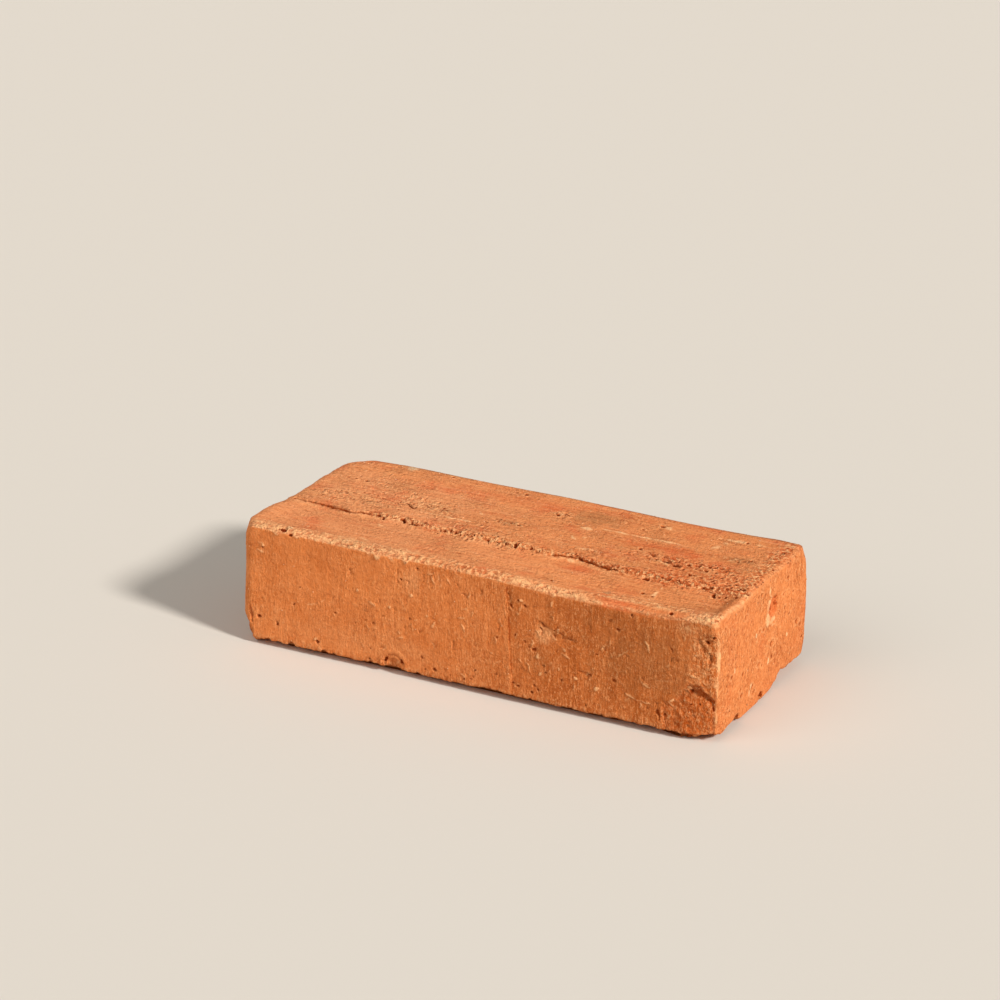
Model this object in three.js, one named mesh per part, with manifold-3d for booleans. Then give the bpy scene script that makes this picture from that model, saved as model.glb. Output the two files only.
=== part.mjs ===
// A hand-moulded fired-clay brick: one solid block lying on its bed.
// +X runs along its length, -Y is the front stretcher face, +Z is up, and the origin is the
// centre of the bed. The mould formed the sides. The top was struck off lengthwise, which
// left a lap crease along it where the clot of clay had been folded.
import * as THREE from 'three';
import { mergeVertices } from 'three/addons/utils/BufferGeometryUtils.js';
import Module from 'manifold-3d';

const wasm = await Module();
wasm.setup();

// ---- The block, in millimetres ----
const BRICK_LENGTH = 228;
const BRICK_WIDTH = 104;
const BRICK_HEIGHT = 56;
const CORNER_ROUND = 6; // upright corners, and the width of every arris in plan
const WORN_CORNER_ROUND = 15; // the back left corner, knocked round
const WORN_CORNER_REACH = 34; // where that wear has faded out
const KEEN_CORNER_ROUND = 2.6; // the front right corner, below its worn top
const KEEN_CORNER_REACH = 30; // where that keenness has faded out
const KEEN_CORNER_TOP = 41; // height up to which it is fully keen
const ARRIS_DROP = 3; // how far the top arrises roll down the sides
const KEEN_ARRIS_DROP = 1.8; // the same along the left half of the front arris
const KEEN_ARRIS_END = 100; // from the left end, where the front arris starts to soften
const SOFT_ARRIS_START = 155; // from the left end, where it is fully soft
const BED_ARRIS_RISE = 4.8; // how far the lower arrises roll up the sides
const END_LEAN = 0.9; // each end stands this much further in at the top
const SIDE_WAVE = 0.25; // slow unevenness of the mould-formed sides
const FOOT_SPREAD = 1; // the foot of the left end stands out this much
const END_BOW = 0.9; // the left end bows out this much near its front
const END_BULGE = 1.1; // the rear half of the right end swells out this much
const END_REACH = 54; // how far along the brick that spread and that swelling are felt

// ---- The struck top ----
// Turning points of the lap crease: [from the left end, from the front face].
const CREASE_TURNS = [
  [6, 38],
  [22, 37.2],
  [36, 36.3],
  [50, 38.6],
  [62, 38.6],
  [69, 36.4],
  [82, 35.4],
  [99, 35.2],
  [106, 34.2],
  [134, 34.2],
  [146, 36.6],
  [160, 33.6],
  [178, 34.8],
  [192, 33.4],
  [219, 33],
];
const CREASE_FROM_RIGHT = 9; // where it runs out before the right end
const CREASE_WIDTH = 2.4;
const CREASE_DEPTH = 2;
const LAP_RISE = 0.8; // the rear part laps over the front strip
const LAP_FADE = 50; // how far back the lap levels out
const LEFT_LAP_SHARE = 0.3; // of the lap that is left at the left end
const LEFT_LEVEL = 22; // from the left end, where lap and hollow have their full size
const STRIP_DISH = 0.9; // hollow of the front strip
const DISH_FROM_FRONT = 9;
const DISH_FROM_RIGHT = 5;
const LIP_RISE = 1.2; // clay dragged up round the front right corner
const LIP_ALONG_FRONT = 30;
const LIP_ALONG_END = 30;
const LEFT_LIP_RISE = 1.2; // and along the left end
const LEFT_LIP_FROM_FRONT = 21;
const STRUCK_FALL = 0.8; // the top lies this much lower over its right half
const BACK_FALL_SHARE = 0.35; // of that fall along the back
const BACK_FALL_START = 60; // from the front face, where the fall starts to lessen
const STRUCK_WAVE = 0.25;

// ---- Marks in the struck top: [from the left end, from the front face] ----
const FOLD_HOLES = [
  [50.5, 38.6],
  [62.5, 38.4],
];
const FOLD_HOLE_SIZE = 2.2;
const REAR_TEAR = [
  [180.5, 52.4],
  [185, 51],
  [188, 49],
];
const END_TEAR = [
  [220.5, 38.3],
  [224.5, 38.4],
  [227, 36],
];
const TEAR_WIDTH = 1.8;
const TEAR_DEPTH = 1.5;
const TOP_PITS = [
  [25, 73],
  [94.5, 95.2],
  [117.7, 79.6],
  [163.7, 90.5],
  [165.9, 54.1],
  [176.9, 52.3],
];
const TOP_PIT_SIZE = 1.3;
const BACK_NOTCH_FROM_LEFT = 34; // a knock in the back's top arris
const BACK_NOTCH_LENGTH = 8;
const BACK_NOTCH_DEPTH = 1.8;

// ---- Marks in the front stretcher face ----
const KISS_LINE_FROM_RIGHT = 96; // fold in the clot, from top to bottom of the face
const KISS_LINE_BOW = 2.6;
const KISS_LINE_WIDTH = 2;
const KISS_LINE_DEPTH = 0.7;
// A slanting tear: [from the left end, height].
const FRONT_TEAR = [
  [148, 39.4],
  [153, 37.4],
  [158, 35.8],
  [164, 34.6],
];
const RING_DENT_FROM_LEFT = 78.3; // half-round dent standing on the lower arris
const RING_DENT_RADIUS = 5;
const RING_DENT_HEIGHT = 5.2;
const RING_DENT_DEPTH = 0.9;
const ARRIS_CHIP_FROM_LEFT = 24;
const ARRIS_CHIP_LENGTH = 9;
const ARRIS_CHIP_DEPTH = 1.8;
const CORNER_CHIP_HEIGHT = 14; // lower left corner
const CORNER_CHIP_LENGTH = 8.4;
const CORNER_CHIP_TILT = -0.4; // radians off upright, its top towards the left end

// ---- The broken lower right corner ----
const SPALL_LENGTH = 21;
const SPALL_HEIGHT = 22;
const SPALL_DEPTH = 2.4;
const TOE_CHIP_LENGTH = 13;
const TOE_CHIP_HEIGHT = 5;

// ---- Marks in the right header face ----
const GOUGE_FROM_FRONT = 60;
const GOUGE_HEIGHT = 41;
const GOUGE_TALL = 13.5;
const GOUGE_WIDTH = 11;
const GOUGE_DEPTH = 2;
const GOUGE_TILT = 0.3; // radians off upright, its foot towards the back
const HEEL_CHIP_FROM_FRONT = 75;
const HEEL_CHIP_LENGTH = 11;
const HEEL_CHIP_HEIGHT = 4.2;
const BACK_CHIP_REACH = 10; // lower back corner, along the end and up it
const BACK_CHIP_HEIGHT = 7;

const LEFT = -BRICK_LENGTH / 2;
const RIGHT = BRICK_LENGTH / 2;
const FRONT = -BRICK_WIDTH / 2;
const BACK = BRICK_WIDTH / 2;
const UP = new THREE.Vector3(0, 0, 1);
const FORWARD = new THREE.Vector3(0, -1, 0);

// 0 before one value, 1 past the other, either way round.
function blend(from, to, value) {
  const share = THREE.MathUtils.clamp((value - from) / (to - from), 0, 1);
  return share * share * (3 - 2 * share);
}

// 1 in the middle, 0 this far to either side.
const swell = (middle, reach, value) => blend(reach, 0, Math.abs(value - middle));

// Distance of the lap crease from the front face, eased from one turn to the next.
function creaseFromFront(fromLeft) {
  let turned = CREASE_TURNS[0][1];
  for (let i = 1; i < CREASE_TURNS.length; i++) {
    const [start, before] = CREASE_TURNS[i - 1];
    const [end, after] = CREASE_TURNS[i];
    turned += (after - before) * blend(start, end, fromLeft);
  }
  return turned;
}

// How far the struck top lies above or below its nominal level.
function struckLift(x, y) {
  const fromLeft = x - LEFT;
  const fromRight = RIGHT - x;
  const fromFront = y - FRONT;
  const behind = fromFront - creaseFromFront(fromLeft);
  const grown = blend(1, LEFT_LEVEL, fromLeft);
  const lapHere = LAP_RISE * THREE.MathUtils.lerp(LEFT_LAP_SHARE, 1, grown);
  const lap = lapHere * blend(-1.5, 1.5, behind) * blend(LAP_FADE, 12, behind);
  const inDish = blend(DISH_FROM_FRONT - 5, DISH_FROM_FRONT + 5, fromFront) * blend(0, -4, behind);
  const clearOfEnd = blend(DISH_FROM_RIGHT - 4, DISH_FROM_RIGHT + 3, fromRight);
  const dish = -STRIP_DISH * grown * inDish * clearOfEnd;
  const frontLip = blend(LIP_ALONG_FRONT, 4, fromRight) * blend(16, 4, fromFront);
  const endLip = blend(LIP_ALONG_END, 12, fromFront) * blend(8, 2, fromRight);
  const leftLip = blend(16, 2, fromLeft) * swell(LEFT_LIP_FROM_FRONT, 20, fromFront);
  const lip = LIP_RISE * Math.max(frontLip, endLip) + LEFT_LIP_RISE * leftLip;
  const fallShare = THREE.MathUtils.lerp(1, BACK_FALL_SHARE, blend(BACK_FALL_START, 98, fromFront));
  const fall = -STRUCK_FALL * fallShare * blend(90, 160, fromLeft);
  const wave = STRUCK_WAVE * (Math.sin(x * 0.055 + 1) + Math.sin(x * 0.021 - y * 0.06));
  return lap + dish + lip + fall + wave;
}

// Rounding of the block in plan: the back left corner is worn far rounder than the rest, and
// the front right one kept a keen arris below its top.
function planRound(x, y, z) {
  const fromWorn = Math.max(x - LEFT, BACK - y);
  const worn = blend(WORN_CORNER_REACH, 0, fromWorn);
  const fromKeen = Math.max(RIGHT - x, y - FRONT);
  const keen = blend(KEEN_CORNER_REACH, KEEN_CORNER_REACH / 3, fromKeen);
  const keenHere = keen * blend(BRICK_HEIGHT - ARRIS_DROP, KEEN_CORNER_TOP, z);
  const round = THREE.MathUtils.lerp(CORNER_ROUND, WORN_CORNER_ROUND, worn);
  return THREE.MathUtils.lerp(round, KEEN_CORNER_ROUND, keenHere);
}

// How far the top arris rolls down: less along the keen left half of the front.
function arrisDrop(x, y) {
  const soft = blend(KEEN_ARRIS_END, SOFT_ARRIS_START, x - LEFT);
  const keen = (1 - soft) * blend(20, 8, y - FRONT);
  return THREE.MathUtils.lerp(ARRIS_DROP, KEEN_ARRIS_DROP, keen);
}

// The stations of one axis. Each holds a place along it and, at the two ends, how far the
// skin has turned round the arris, from 0 to 1 either way.
function stations(low, high, inner) {
  const turns = [1, Math.tan(Math.PI / 6.5), Math.tan(Math.PI / 12), 0];
  const start = turns.map((turn) => ({ at: low, turn: -turn }));
  const middle = inner.map((at) => ({ at, turn: 0 }));
  const end = turns.map((turn) => ({ at: high, turn })).reverse();
  return [...start, ...middle, ...end];
}

function evenly(low, high, count) {
  return Array.from({ length: count }, (_, i) => low + ((high - low) * (i + 1)) / (count + 1));
}

// One point of the block's skin from its three stations.
function skinPoint(along, across, upward) {
  const round = planRound(along.at, across.at, upward.at);
  const drop = arrisDrop(along.at, across.at);
  const rise = upward.at < BRICK_HEIGHT / 2 ? BED_ARRIS_RISE : drop;
  const core = new THREE.Vector3(
    THREE.MathUtils.clamp(along.at, LEFT + round, RIGHT - round),
    THREE.MathUtils.clamp(across.at, FRONT + round, BACK - round),
    THREE.MathUtils.clamp(upward.at, BED_ARRIS_RISE, BRICK_HEIGHT - drop),
  );
  const outward = new THREE.Vector3(along.turn, across.turn, upward.turn).normalize();
  return settle(core.add(outward.multiply(new THREE.Vector3(round, round, rise))));
}

// The clay's own shape: a struck top, ends that lean in, a bow and a spread foot at the left
// end, a swelling low on the right one, sides that wave a little, and a flat bed.
function settle({ x, y, z }) {
  const height = z / BRICK_HEIGHT;
  const endWave = SIDE_WAVE * Math.sin(y * 0.08 + z * 0.06 + 2);
  const sideWave = SIDE_WAVE * Math.sin(x * 0.045 + z * 0.07);
  const nearLeft = blend(LEFT + END_REACH, LEFT, x);
  const drawnIn = FOOT_SPREAD * blend(0, 12, z) * nearLeft;
  const bow = END_BOW * blend(20, 50, z) * nearLeft * swell(FRONT + 22, 22, y);
  const swelling = blend(0, 14, z) * blend(54, 34, z) * blend(BACK - 44, BACK - 8, y);
  const bulge = END_BULGE * swelling * blend(RIGHT - END_REACH, RIGHT, x);
  return new THREE.Vector3(
    x + endWave * (x / RIGHT) ** 3 - (END_LEAN * height * x) / RIGHT + drawnIn + bulge - bow,
    y + sideWave * (y / BACK) ** 3 + 0.6 * bulge,
    z + struckLift(x, y) * blend(0.45, 0.98, height),
  );
}

function toSolid(geometry) {
  const bare = geometry.clone();
  bare.deleteAttribute('normal');
  bare.deleteAttribute('uv');
  const merged = mergeVertices(bare, 1e-4);
  return new wasm.Manifold(
    new wasm.Mesh({
      numProp: 3,
      vertProperties: new Float32Array(merged.attributes.position.array),
      triVerts: new Uint32Array(merged.index.array),
    }),
  );
}

function solidFromTriangles(positions) {
  const loose = new THREE.BufferGeometry();
  loose.setAttribute('position', new THREE.Float32BufferAttribute(positions, 3));
  return toSolid(loose);
}

// The moulded block: six skins that meet on shared arris points.
function mouldedBlock() {
  const along = stations(LEFT, RIGHT, evenly(LEFT + CORNER_ROUND, RIGHT - CORNER_ROUND, 23));
  const across = stations(FRONT, BACK, evenly(FRONT + CORNER_ROUND, BACK - CORNER_ROUND, 17));
  const upward = stations(0, BRICK_HEIGHT, evenly(BED_ARRIS_RISE, BRICK_HEIGHT - ARRIS_DROP, 3));
  const [left, right] = [along[0], along.at(-1)];
  const [front, back] = [across[0], across.at(-1)];
  const [bed, top] = [upward[0], upward.at(-1)];
  const positions = [];
  const addSkin = (rows, columns, place) => {
    for (let i = 0; i < rows.length - 1; i++) {
      for (let j = 0; j < columns.length - 1; j++) {
        const a = place(rows[i], columns[j]);
        const b = place(rows[i + 1], columns[j]);
        const c = place(rows[i + 1], columns[j + 1]);
        const d = place(rows[i], columns[j + 1]);
        for (const corner of [a, b, c, a, c, d]) positions.push(corner.x, corner.y, corner.z);
      }
    }
  };
  addSkin(along, across, (x, y) => skinPoint(x, y, top));
  addSkin(across, along, (y, x) => skinPoint(x, y, bed));
  addSkin(across, upward, (y, z) => skinPoint(right, y, z));
  addSkin(upward, across, (z, y) => skinPoint(left, y, z));
  addSkin(upward, along, (z, x) => skinPoint(x, back, z));
  addSkin(along, upward, (x, z) => skinPoint(x, front, z));
  return solidFromTriangles(positions);
}

// A furrow's cutter: a diamond section drawn along a line of skin points and closed to a
// point at both ends. Each place holds a skin point, a half width and a depth.
function furrow(places, outward) {
  const rings = places.map(({ point, half, depth }, i) => {
    const before = places[Math.max(i - 1, 0)].point;
    const after = places[Math.min(i + 1, places.length - 1)].point;
    const aside = new THREE.Vector3().subVectors(after, before).cross(outward).normalize();
    return [
      point.clone().addScaledVector(aside, half).addScaledVector(outward, half * 0.3),
      point.clone().addScaledVector(outward, 2),
      point.clone().addScaledVector(aside, -half).addScaledVector(outward, half * 0.3),
      point.clone().addScaledVector(outward, -depth),
    ];
  });
  const beyond = (from, next) => from.clone().multiplyScalar(1.6).addScaledVector(next, -0.6);
  const head = beyond(places[0].point, places[1].point);
  const tail = beyond(places.at(-1).point, places.at(-2).point);
  const positions = [];
  const addTriangle = (...corners) => corners.forEach((p) => positions.push(p.x, p.y, p.z));
  for (let side = 0; side < 4; side++) {
    const next = (side + 1) % 4;
    addTriangle(head, rings[0][side], rings[0][next]);
    for (let i = 0; i < rings.length - 1; i++) {
      addTriangle(rings[i][side], rings[i + 1][next], rings[i][next]);
      addTriangle(rings[i][side], rings[i + 1][side], rings[i + 1][next]);
    }
    addTriangle(tail, rings.at(-1)[next], rings.at(-1)[side]);
  }
  return solidFromTriangles(positions);
}

// A repeatable number between -1 and 1 for the roughness of broken clay.
const uneven = (seed) => 2 * (Math.abs(Math.sin(seed * 78.233) * 43758.5453) % 1) - 1;

// A rough lump that breaks clay away: a faceted ball, stretched, turned and dented.
function lump(centre, size, turned, roughness, fineness) {
  const ball = new THREE.IcosahedronGeometry(1, fineness);
  ball.deleteAttribute('normal');
  ball.deleteAttribute('uv');
  const shape = mergeVertices(ball, 1e-4);
  const places = shape.attributes.position;
  const turn = new THREE.Euler(...turned);
  for (let i = 0; i < places.count; i++) {
    const point = new THREE.Vector3().fromBufferAttribute(places, i);
    point.multiplyScalar(1 + roughness * uneven(i + centre.x + 3 * centre.z));
    point.multiply(size).applyEuler(turn).add(centre);
    places.setXYZ(i, point.x, point.y, point.z);
  }
  return toSolid(shape);
}

const onTop = (fromLeft, fromFront) => {
  const x = LEFT + fromLeft;
  const y = FRONT + fromFront;
  return new THREE.Vector3(x, y, BRICK_HEIGHT + struckLift(x, y));
};
const onFront = (fromLeft, height) => new THREE.Vector3(LEFT + fromLeft, FRONT, height);

// The lap crease: an open furrow of changing width, with holes where the fold stayed open.
function lapCrease() {
  const start = CREASE_TURNS[0][0];
  const length = BRICK_LENGTH - CREASE_FROM_RIGHT - start;
  const steps = 48;
  const places = [];
  for (let i = 0; i <= steps; i++) {
    const fromLeft = start + (length * i) / steps;
    const open = 0.55 + 0.45 * Math.sin(fromLeft * 0.31) * Math.sin(fromLeft * 0.093 + 1);
    places.push({
      point: onTop(fromLeft, creaseFromFront(fromLeft)),
      half: (CREASE_WIDTH / 2) * (0.5 + 0.6 * open),
      depth: CREASE_DEPTH * open,
    });
  }
  const holes = FOLD_HOLES.map(([fromLeft, fromFront]) => {
    const size = new THREE.Vector3(FOLD_HOLE_SIZE, FOLD_HOLE_SIZE * 0.7, FOLD_HOLE_SIZE);
    return lump(onTop(fromLeft, fromFront), size, [0.2, 0, 0.5], 0.12, 1);
  });
  return [furrow(places, UP), ...holes];
}

// Short tears and pits in the struck top, and the knock in its back arris.
function topMarks() {
  const tears = [REAR_TEAR, END_TEAR].map((turns) => {
    const places = turns.map(([fromLeft, fromFront]) => ({
      point: onTop(fromLeft, fromFront),
      half: TEAR_WIDTH / 2,
      depth: TEAR_DEPTH,
    }));
    return furrow(places, UP);
  });
  const pits = TOP_PITS.map(([fromLeft, fromFront]) => {
    const size = new THREE.Vector3(TOP_PIT_SIZE, TOP_PIT_SIZE * 0.7, TOP_PIT_SIZE);
    return lump(onTop(fromLeft, fromFront), size, [0, 0, 0.4], 0.1, 0);
  });
  const notch = new THREE.Vector3(LEFT + BACK_NOTCH_FROM_LEFT, BACK + 0.5, BRICK_HEIGHT + 1);
  const notchSize = new THREE.Vector3(BACK_NOTCH_LENGTH / 2, 3.5, BACK_NOTCH_DEPTH + 1);
  return [...tears, ...pits, lump(notch, notchSize, [0, 0, 0], 0.1, 1)];
}

// The kiss line down the front face, and the slanting tear beside it.
function frontFolds() {
  const steps = 8;
  const kissLine = [];
  for (let i = 0; i <= steps; i++) {
    const down = i / steps;
    const height = BRICK_HEIGHT - 6 - (BRICK_HEIGHT - 11) * down;
    const fromLeft = BRICK_LENGTH - KISS_LINE_FROM_RIGHT + KISS_LINE_BOW * down ** 1.6;
    const point = onFront(fromLeft, height);
    kissLine.push({ point, half: KISS_LINE_WIDTH / 2, depth: KISS_LINE_DEPTH });
  }
  const tear = FRONT_TEAR.map(([fromLeft, height]) => ({
    point: onFront(fromLeft, height),
    half: TEAR_WIDTH / 2,
    depth: TEAR_DEPTH / 2,
  }));
  return [furrow(kissLine, FORWARD), furrow(tear, FORWARD)];
}

// Half-round dent pressed into the front face above the lower arris.
function ringDent() {
  const ring = new THREE.TorusGeometry(RING_DENT_RADIUS, RING_DENT_DEPTH, 6, 20);
  ring.rotateX(Math.PI / 2);
  ring.translate(LEFT + RING_DENT_FROM_LEFT, FRONT, RING_DENT_HEIGHT);
  const hollow = onFront(RING_DENT_FROM_LEFT, RING_DENT_HEIGHT - 2).addScaledVector(FORWARD, 1.2);
  const size = new THREE.Vector3(RING_DENT_RADIUS * 0.9, 2.2, RING_DENT_RADIUS);
  return [toSolid(ring), lump(hollow, size, [0, 0, 0], 0.05, 1)];
}

// Chips in the front's top arris and in its lower left corner.
function leftChips() {
  const arris = onFront(ARRIS_CHIP_FROM_LEFT, BRICK_HEIGHT).addScaledVector(FORWARD, -1.5);
  const arrisSize = new THREE.Vector3(ARRIS_CHIP_LENGTH / 2, 2.4, ARRIS_CHIP_DEPTH);
  const corner = onFront(-1, 5);
  const cornerSize = new THREE.Vector3(CORNER_CHIP_LENGTH, 8, CORNER_CHIP_HEIGHT - 3);
  return [
    lump(arris, arrisSize, [0.5, 0, 0], 0.12, 1),
    lump(corner, cornerSize, [0, CORNER_CHIP_TILT, 0], 0.06, 2),
  ];
}

// The broken lower right corner, and the hollows in the upright arris above it.
function rightBreaks() {
  const middle = BRICK_LENGTH - SPALL_LENGTH * 0.4;
  const breaks = [
    // [from the left end, height, half length, half height, depth past the face, tilt]
    [middle, SPALL_HEIGHT * 0.5, SPALL_LENGTH * 0.5, SPALL_HEIGHT * 0.46, SPALL_DEPTH, 0.25],
    [middle - 3, SPALL_HEIGHT * 0.85, SPALL_LENGTH * 0.4, 3.2, SPALL_DEPTH * 0.8, 0.3],
    [middle + 5, SPALL_HEIGHT * 0.7, 5, 6, SPALL_DEPTH * 1.2, 0],
    [middle - 9, 6, 8, 4.5, SPALL_DEPTH * 0.6, -0.1],
    [220, 44, 2, 3, 1.3, 0.2],
    [224, 38.5, 1.6, 4.2, 1.4, 0],
  ];
  const hollows = breaks.map(([fromLeft, height, long, high, depth, tilt]) => {
    const centre = onFront(fromLeft, height).addScaledVector(FORWARD, 1.5);
    const size = new THREE.Vector3(long, depth + 1.5, high);
    return lump(centre, size, [0, tilt, 0], 0.1, long > 6 ? 2 : 1);
  });
  const toe = onFront(BRICK_LENGTH - 1, 0).addScaledVector(FORWARD, -3);
  const toeSize = new THREE.Vector3(TOE_CHIP_LENGTH, 9, TOE_CHIP_HEIGHT);
  return [...hollows, lump(toe, toeSize, [0, -0.3, 0.2], 0.06, 2)];
}

// The gouge in the right header face, and the chips in its lower arris and back corner.
function headerMarks() {
  const gouge = new THREE.Vector3(RIGHT + 0.6, FRONT + GOUGE_FROM_FRONT, GOUGE_HEIGHT);
  const gougeSize = new THREE.Vector3(GOUGE_DEPTH + 1.2, GOUGE_WIDTH / 2, GOUGE_TALL / 2);
  const heel = new THREE.Vector3(RIGHT, FRONT + HEEL_CHIP_FROM_FRONT, 0);
  const heelSize = new THREE.Vector3(4, HEEL_CHIP_LENGTH / 2, HEEL_CHIP_HEIGHT + 1.5);
  const backCorner = new THREE.Vector3(RIGHT, BACK - 2, 0);
  const backSize = new THREE.Vector3(6.5, BACK_CHIP_REACH, BACK_CHIP_HEIGHT);
  return [
    lump(gouge, gougeSize, [GOUGE_TILT, 0, 0], 0.07, 2),
    lump(heel, heelSize, [0, 0, 0.2], 0.1, 1),
    lump(backCorner, backSize, [0.1, 0, 0.3], 0.07, 2),
  ];
}

function toGeometry(solid) {
  const mesh = solid.getMesh();
  const geometry = new THREE.BufferGeometry();
  geometry.setAttribute('position', new THREE.BufferAttribute(mesh.vertProperties, 3));
  geometry.setIndex(new THREE.BufferAttribute(mesh.triVerts, 1));
  geometry.computeVertexNormals();
  return geometry;
}

let brickSolid = mouldedBlock();
const cuts = [
  ...lapCrease(),
  ...topMarks(),
  ...frontFolds(),
  ...ringDent(),
  ...leftChips(),
  ...rightBreaks(),
  ...headerMarks(),
];
for (const cut of cuts) {
  brickSolid = brickSolid.subtract(cut);
}

const firedClay = new THREE.MeshStandardMaterial({ color: 0xc87642, roughness: 0.9, metalness: 0 });
const brick = new THREE.Mesh(toGeometry(brickSolid), firedClay);
brick.name = 'brick';

const group = new THREE.Group();
group.add(brick);
export default group;
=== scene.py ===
import itertools
import math

import bpy
import numpy as np
from mathutils import Matrix


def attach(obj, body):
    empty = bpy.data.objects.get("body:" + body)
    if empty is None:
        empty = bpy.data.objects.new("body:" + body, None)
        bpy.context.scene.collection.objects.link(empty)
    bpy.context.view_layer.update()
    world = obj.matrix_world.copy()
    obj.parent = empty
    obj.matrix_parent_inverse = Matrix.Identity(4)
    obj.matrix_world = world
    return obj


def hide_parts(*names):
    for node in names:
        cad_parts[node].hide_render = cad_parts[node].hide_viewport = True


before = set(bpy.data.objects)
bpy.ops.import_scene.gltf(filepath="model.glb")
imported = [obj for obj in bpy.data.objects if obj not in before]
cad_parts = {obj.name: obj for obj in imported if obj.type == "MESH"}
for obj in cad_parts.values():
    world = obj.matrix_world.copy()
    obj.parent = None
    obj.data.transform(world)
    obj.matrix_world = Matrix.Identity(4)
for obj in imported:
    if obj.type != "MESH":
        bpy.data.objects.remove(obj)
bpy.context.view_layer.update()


# ==== The brick ====
# One block of fired clay, thrown by hand into a wooden mould and lying on its bed. The mould
# dragged the four sides upwards, and the top was struck off lengthwise with a wet strike,
# which left a lap crease where the clot of clay had been folded.

# The block, in millimetres. Everything on it is placed by u from its left end, v from its front
# and z up from its bed. The front and the back are its long sides, and the header its right end.
LENGTH, WIDTH, HEIGHT = 228, 104, 56
HALF = np.array([LENGTH / 2, WIDTH / 2, 0])
NET = 0.4  # spacing of the net that its skin is worked on
TRIANGLES = 190_000  # that the skin is thinned to
CORNER_ROUND, WORN_CORNER_ROUND, WORN_CORNER_REACH, KEEN_CORNER_ROUND = 6, 15, 34, 2.6
ARRIS_DROP, KEEN_ARRIS_DROP, BED_ARRIS_RISE, KEEN_FOOT_LESS = 3, 1.8, 4.8, 2.6
END_LEAN, FOOT_DRAWN_IN, END_BULGE, END_BOW, WAVE = 0.9, 1.0, 1.1, 0.9, 0.25
LAP_RISE, DISH_DEPTH, LIP_RISE, RIGHT_HALF_FALL = 0.8, 0.9, 1.2, 0.8
# The lap crease turns at these (u, v).
CREASE_TURNS = [
    (6, 38), (22, 37.2), (36, 36.3), (50, 38.6), (62, 38.6), (69, 36.4), (82, 35.4), (99, 35.2),
    (106, 34.2), (134, 34.2), (146, 36.6), (160, 33.6), (178, 34.8), (192, 33.4), (219, 33),
]


def soft_step(start, end, value):
    """0 before one value and 1 past the other, either way round."""
    share = np.clip((value - start) / (end - start), 0, 1)
    return share * share * (3 - 2 * share)


def hump(middle, reach, value):
    """1 in the middle, falling to 0 this far to either side."""
    return soft_step(reach, 0, np.abs(value - middle))


def uneven(points, lump, seed):
    """A smooth random field from -1 to 1, with lumps of about this size."""
    lattice = np.random.default_rng(seed).uniform(-1, 1, 8192)
    cell = points / np.asarray(lump, float)
    low = np.floor(cell).astype(np.int64)
    part = cell - low
    part = part * part * (3 - 2 * part)
    total = np.zeros(len(points))
    for corner in itertools.product((0, 1), repeat=3):
        key = (low + corner) @ np.array([1619, 31337, 6971]) % len(lattice)
        total += lattice[key] * np.prod(np.where(corner, part, 1 - part), axis=1)
    return total


def crease_from_front(u):
    """How far the lap crease lies from the front at u."""
    turned = np.full_like(u, CREASE_TURNS[0][1])
    for (start, before), (end, after) in zip(CREASE_TURNS, CREASE_TURNS[1:]):
        turned += (after - before) * soft_step(start, end, u)
    return turned


def struck_lift(x, y):
    """How far the struck top lies above or below its nominal level."""
    u, v, from_right = x + HALF[0], y + HALF[1], HALF[0] - x
    behind = v - crease_from_front(u)
    inboard = soft_step(1, 22, u)
    step = 0.35 * soft_step(-1.5, 1.5, behind) + 0.65 * soft_step(-0.35, 0.35, behind)
    lap = LAP_RISE * step * soft_step(50, 12, behind) * (0.3 + 0.7 * inboard)
    dish = -DISH_DEPTH * soft_step(4, 14, v) * soft_step(0, -4, behind)
    dish = dish * soft_step(1, 8, from_right) * inboard
    front_lip = soft_step(30, 4, from_right) * soft_step(16, 4, v)
    end_lip = soft_step(30, 12, v) * soft_step(8, 2, from_right)
    lip = LIP_RISE * np.maximum(front_lip, end_lip) + LIP_RISE * soft_step(16, 2, u) * hump(21, 20, v)
    fall = -RIGHT_HALF_FALL * soft_step(90, 160, u) * (1 - 0.65 * soft_step(60, 98, v))
    wave = WAVE * (np.sin(x * 0.055 + 1) + np.sin(x * 0.021 - y * 0.06))
    return lap + dish + lip + fall + wave


def block_net(spacing):
    """The six sides of a plain block as one welded net: places from 0 to 1, and squares."""
    counts = np.array([round(size / spacing) for size in (LENGTH, WIDTH, HEIGHT)])
    strides = np.array([1, counts[0] + 1, (counts[0] + 1) * (counts[1] + 1)])
    squares = []
    for axis, end in itertools.product(range(3), (0, 1)):
        a, b = (axis + 1) % 3, (axis + 2) % 3
        along, up = np.meshgrid(np.arange(counts[a] + 1), np.arange(counts[b] + 1), indexing="ij")
        key = end * counts[axis] * strides[axis] + along * strides[a] + up * strides[b]
        ring = [key[:-1, :-1], key[1:, :-1], key[1:, 1:], key[:-1, 1:]]
        squares.append(np.stack(ring if end else ring[::-1], -1).reshape(-1, 4))
    keys, corners = np.unique(np.concatenate(squares), return_inverse=True)
    steps = np.stack([keys % strides[1], keys % strides[2] // strides[1], keys // strides[2]], -1)
    return steps / counts, corners.reshape(-1, 4)


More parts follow.
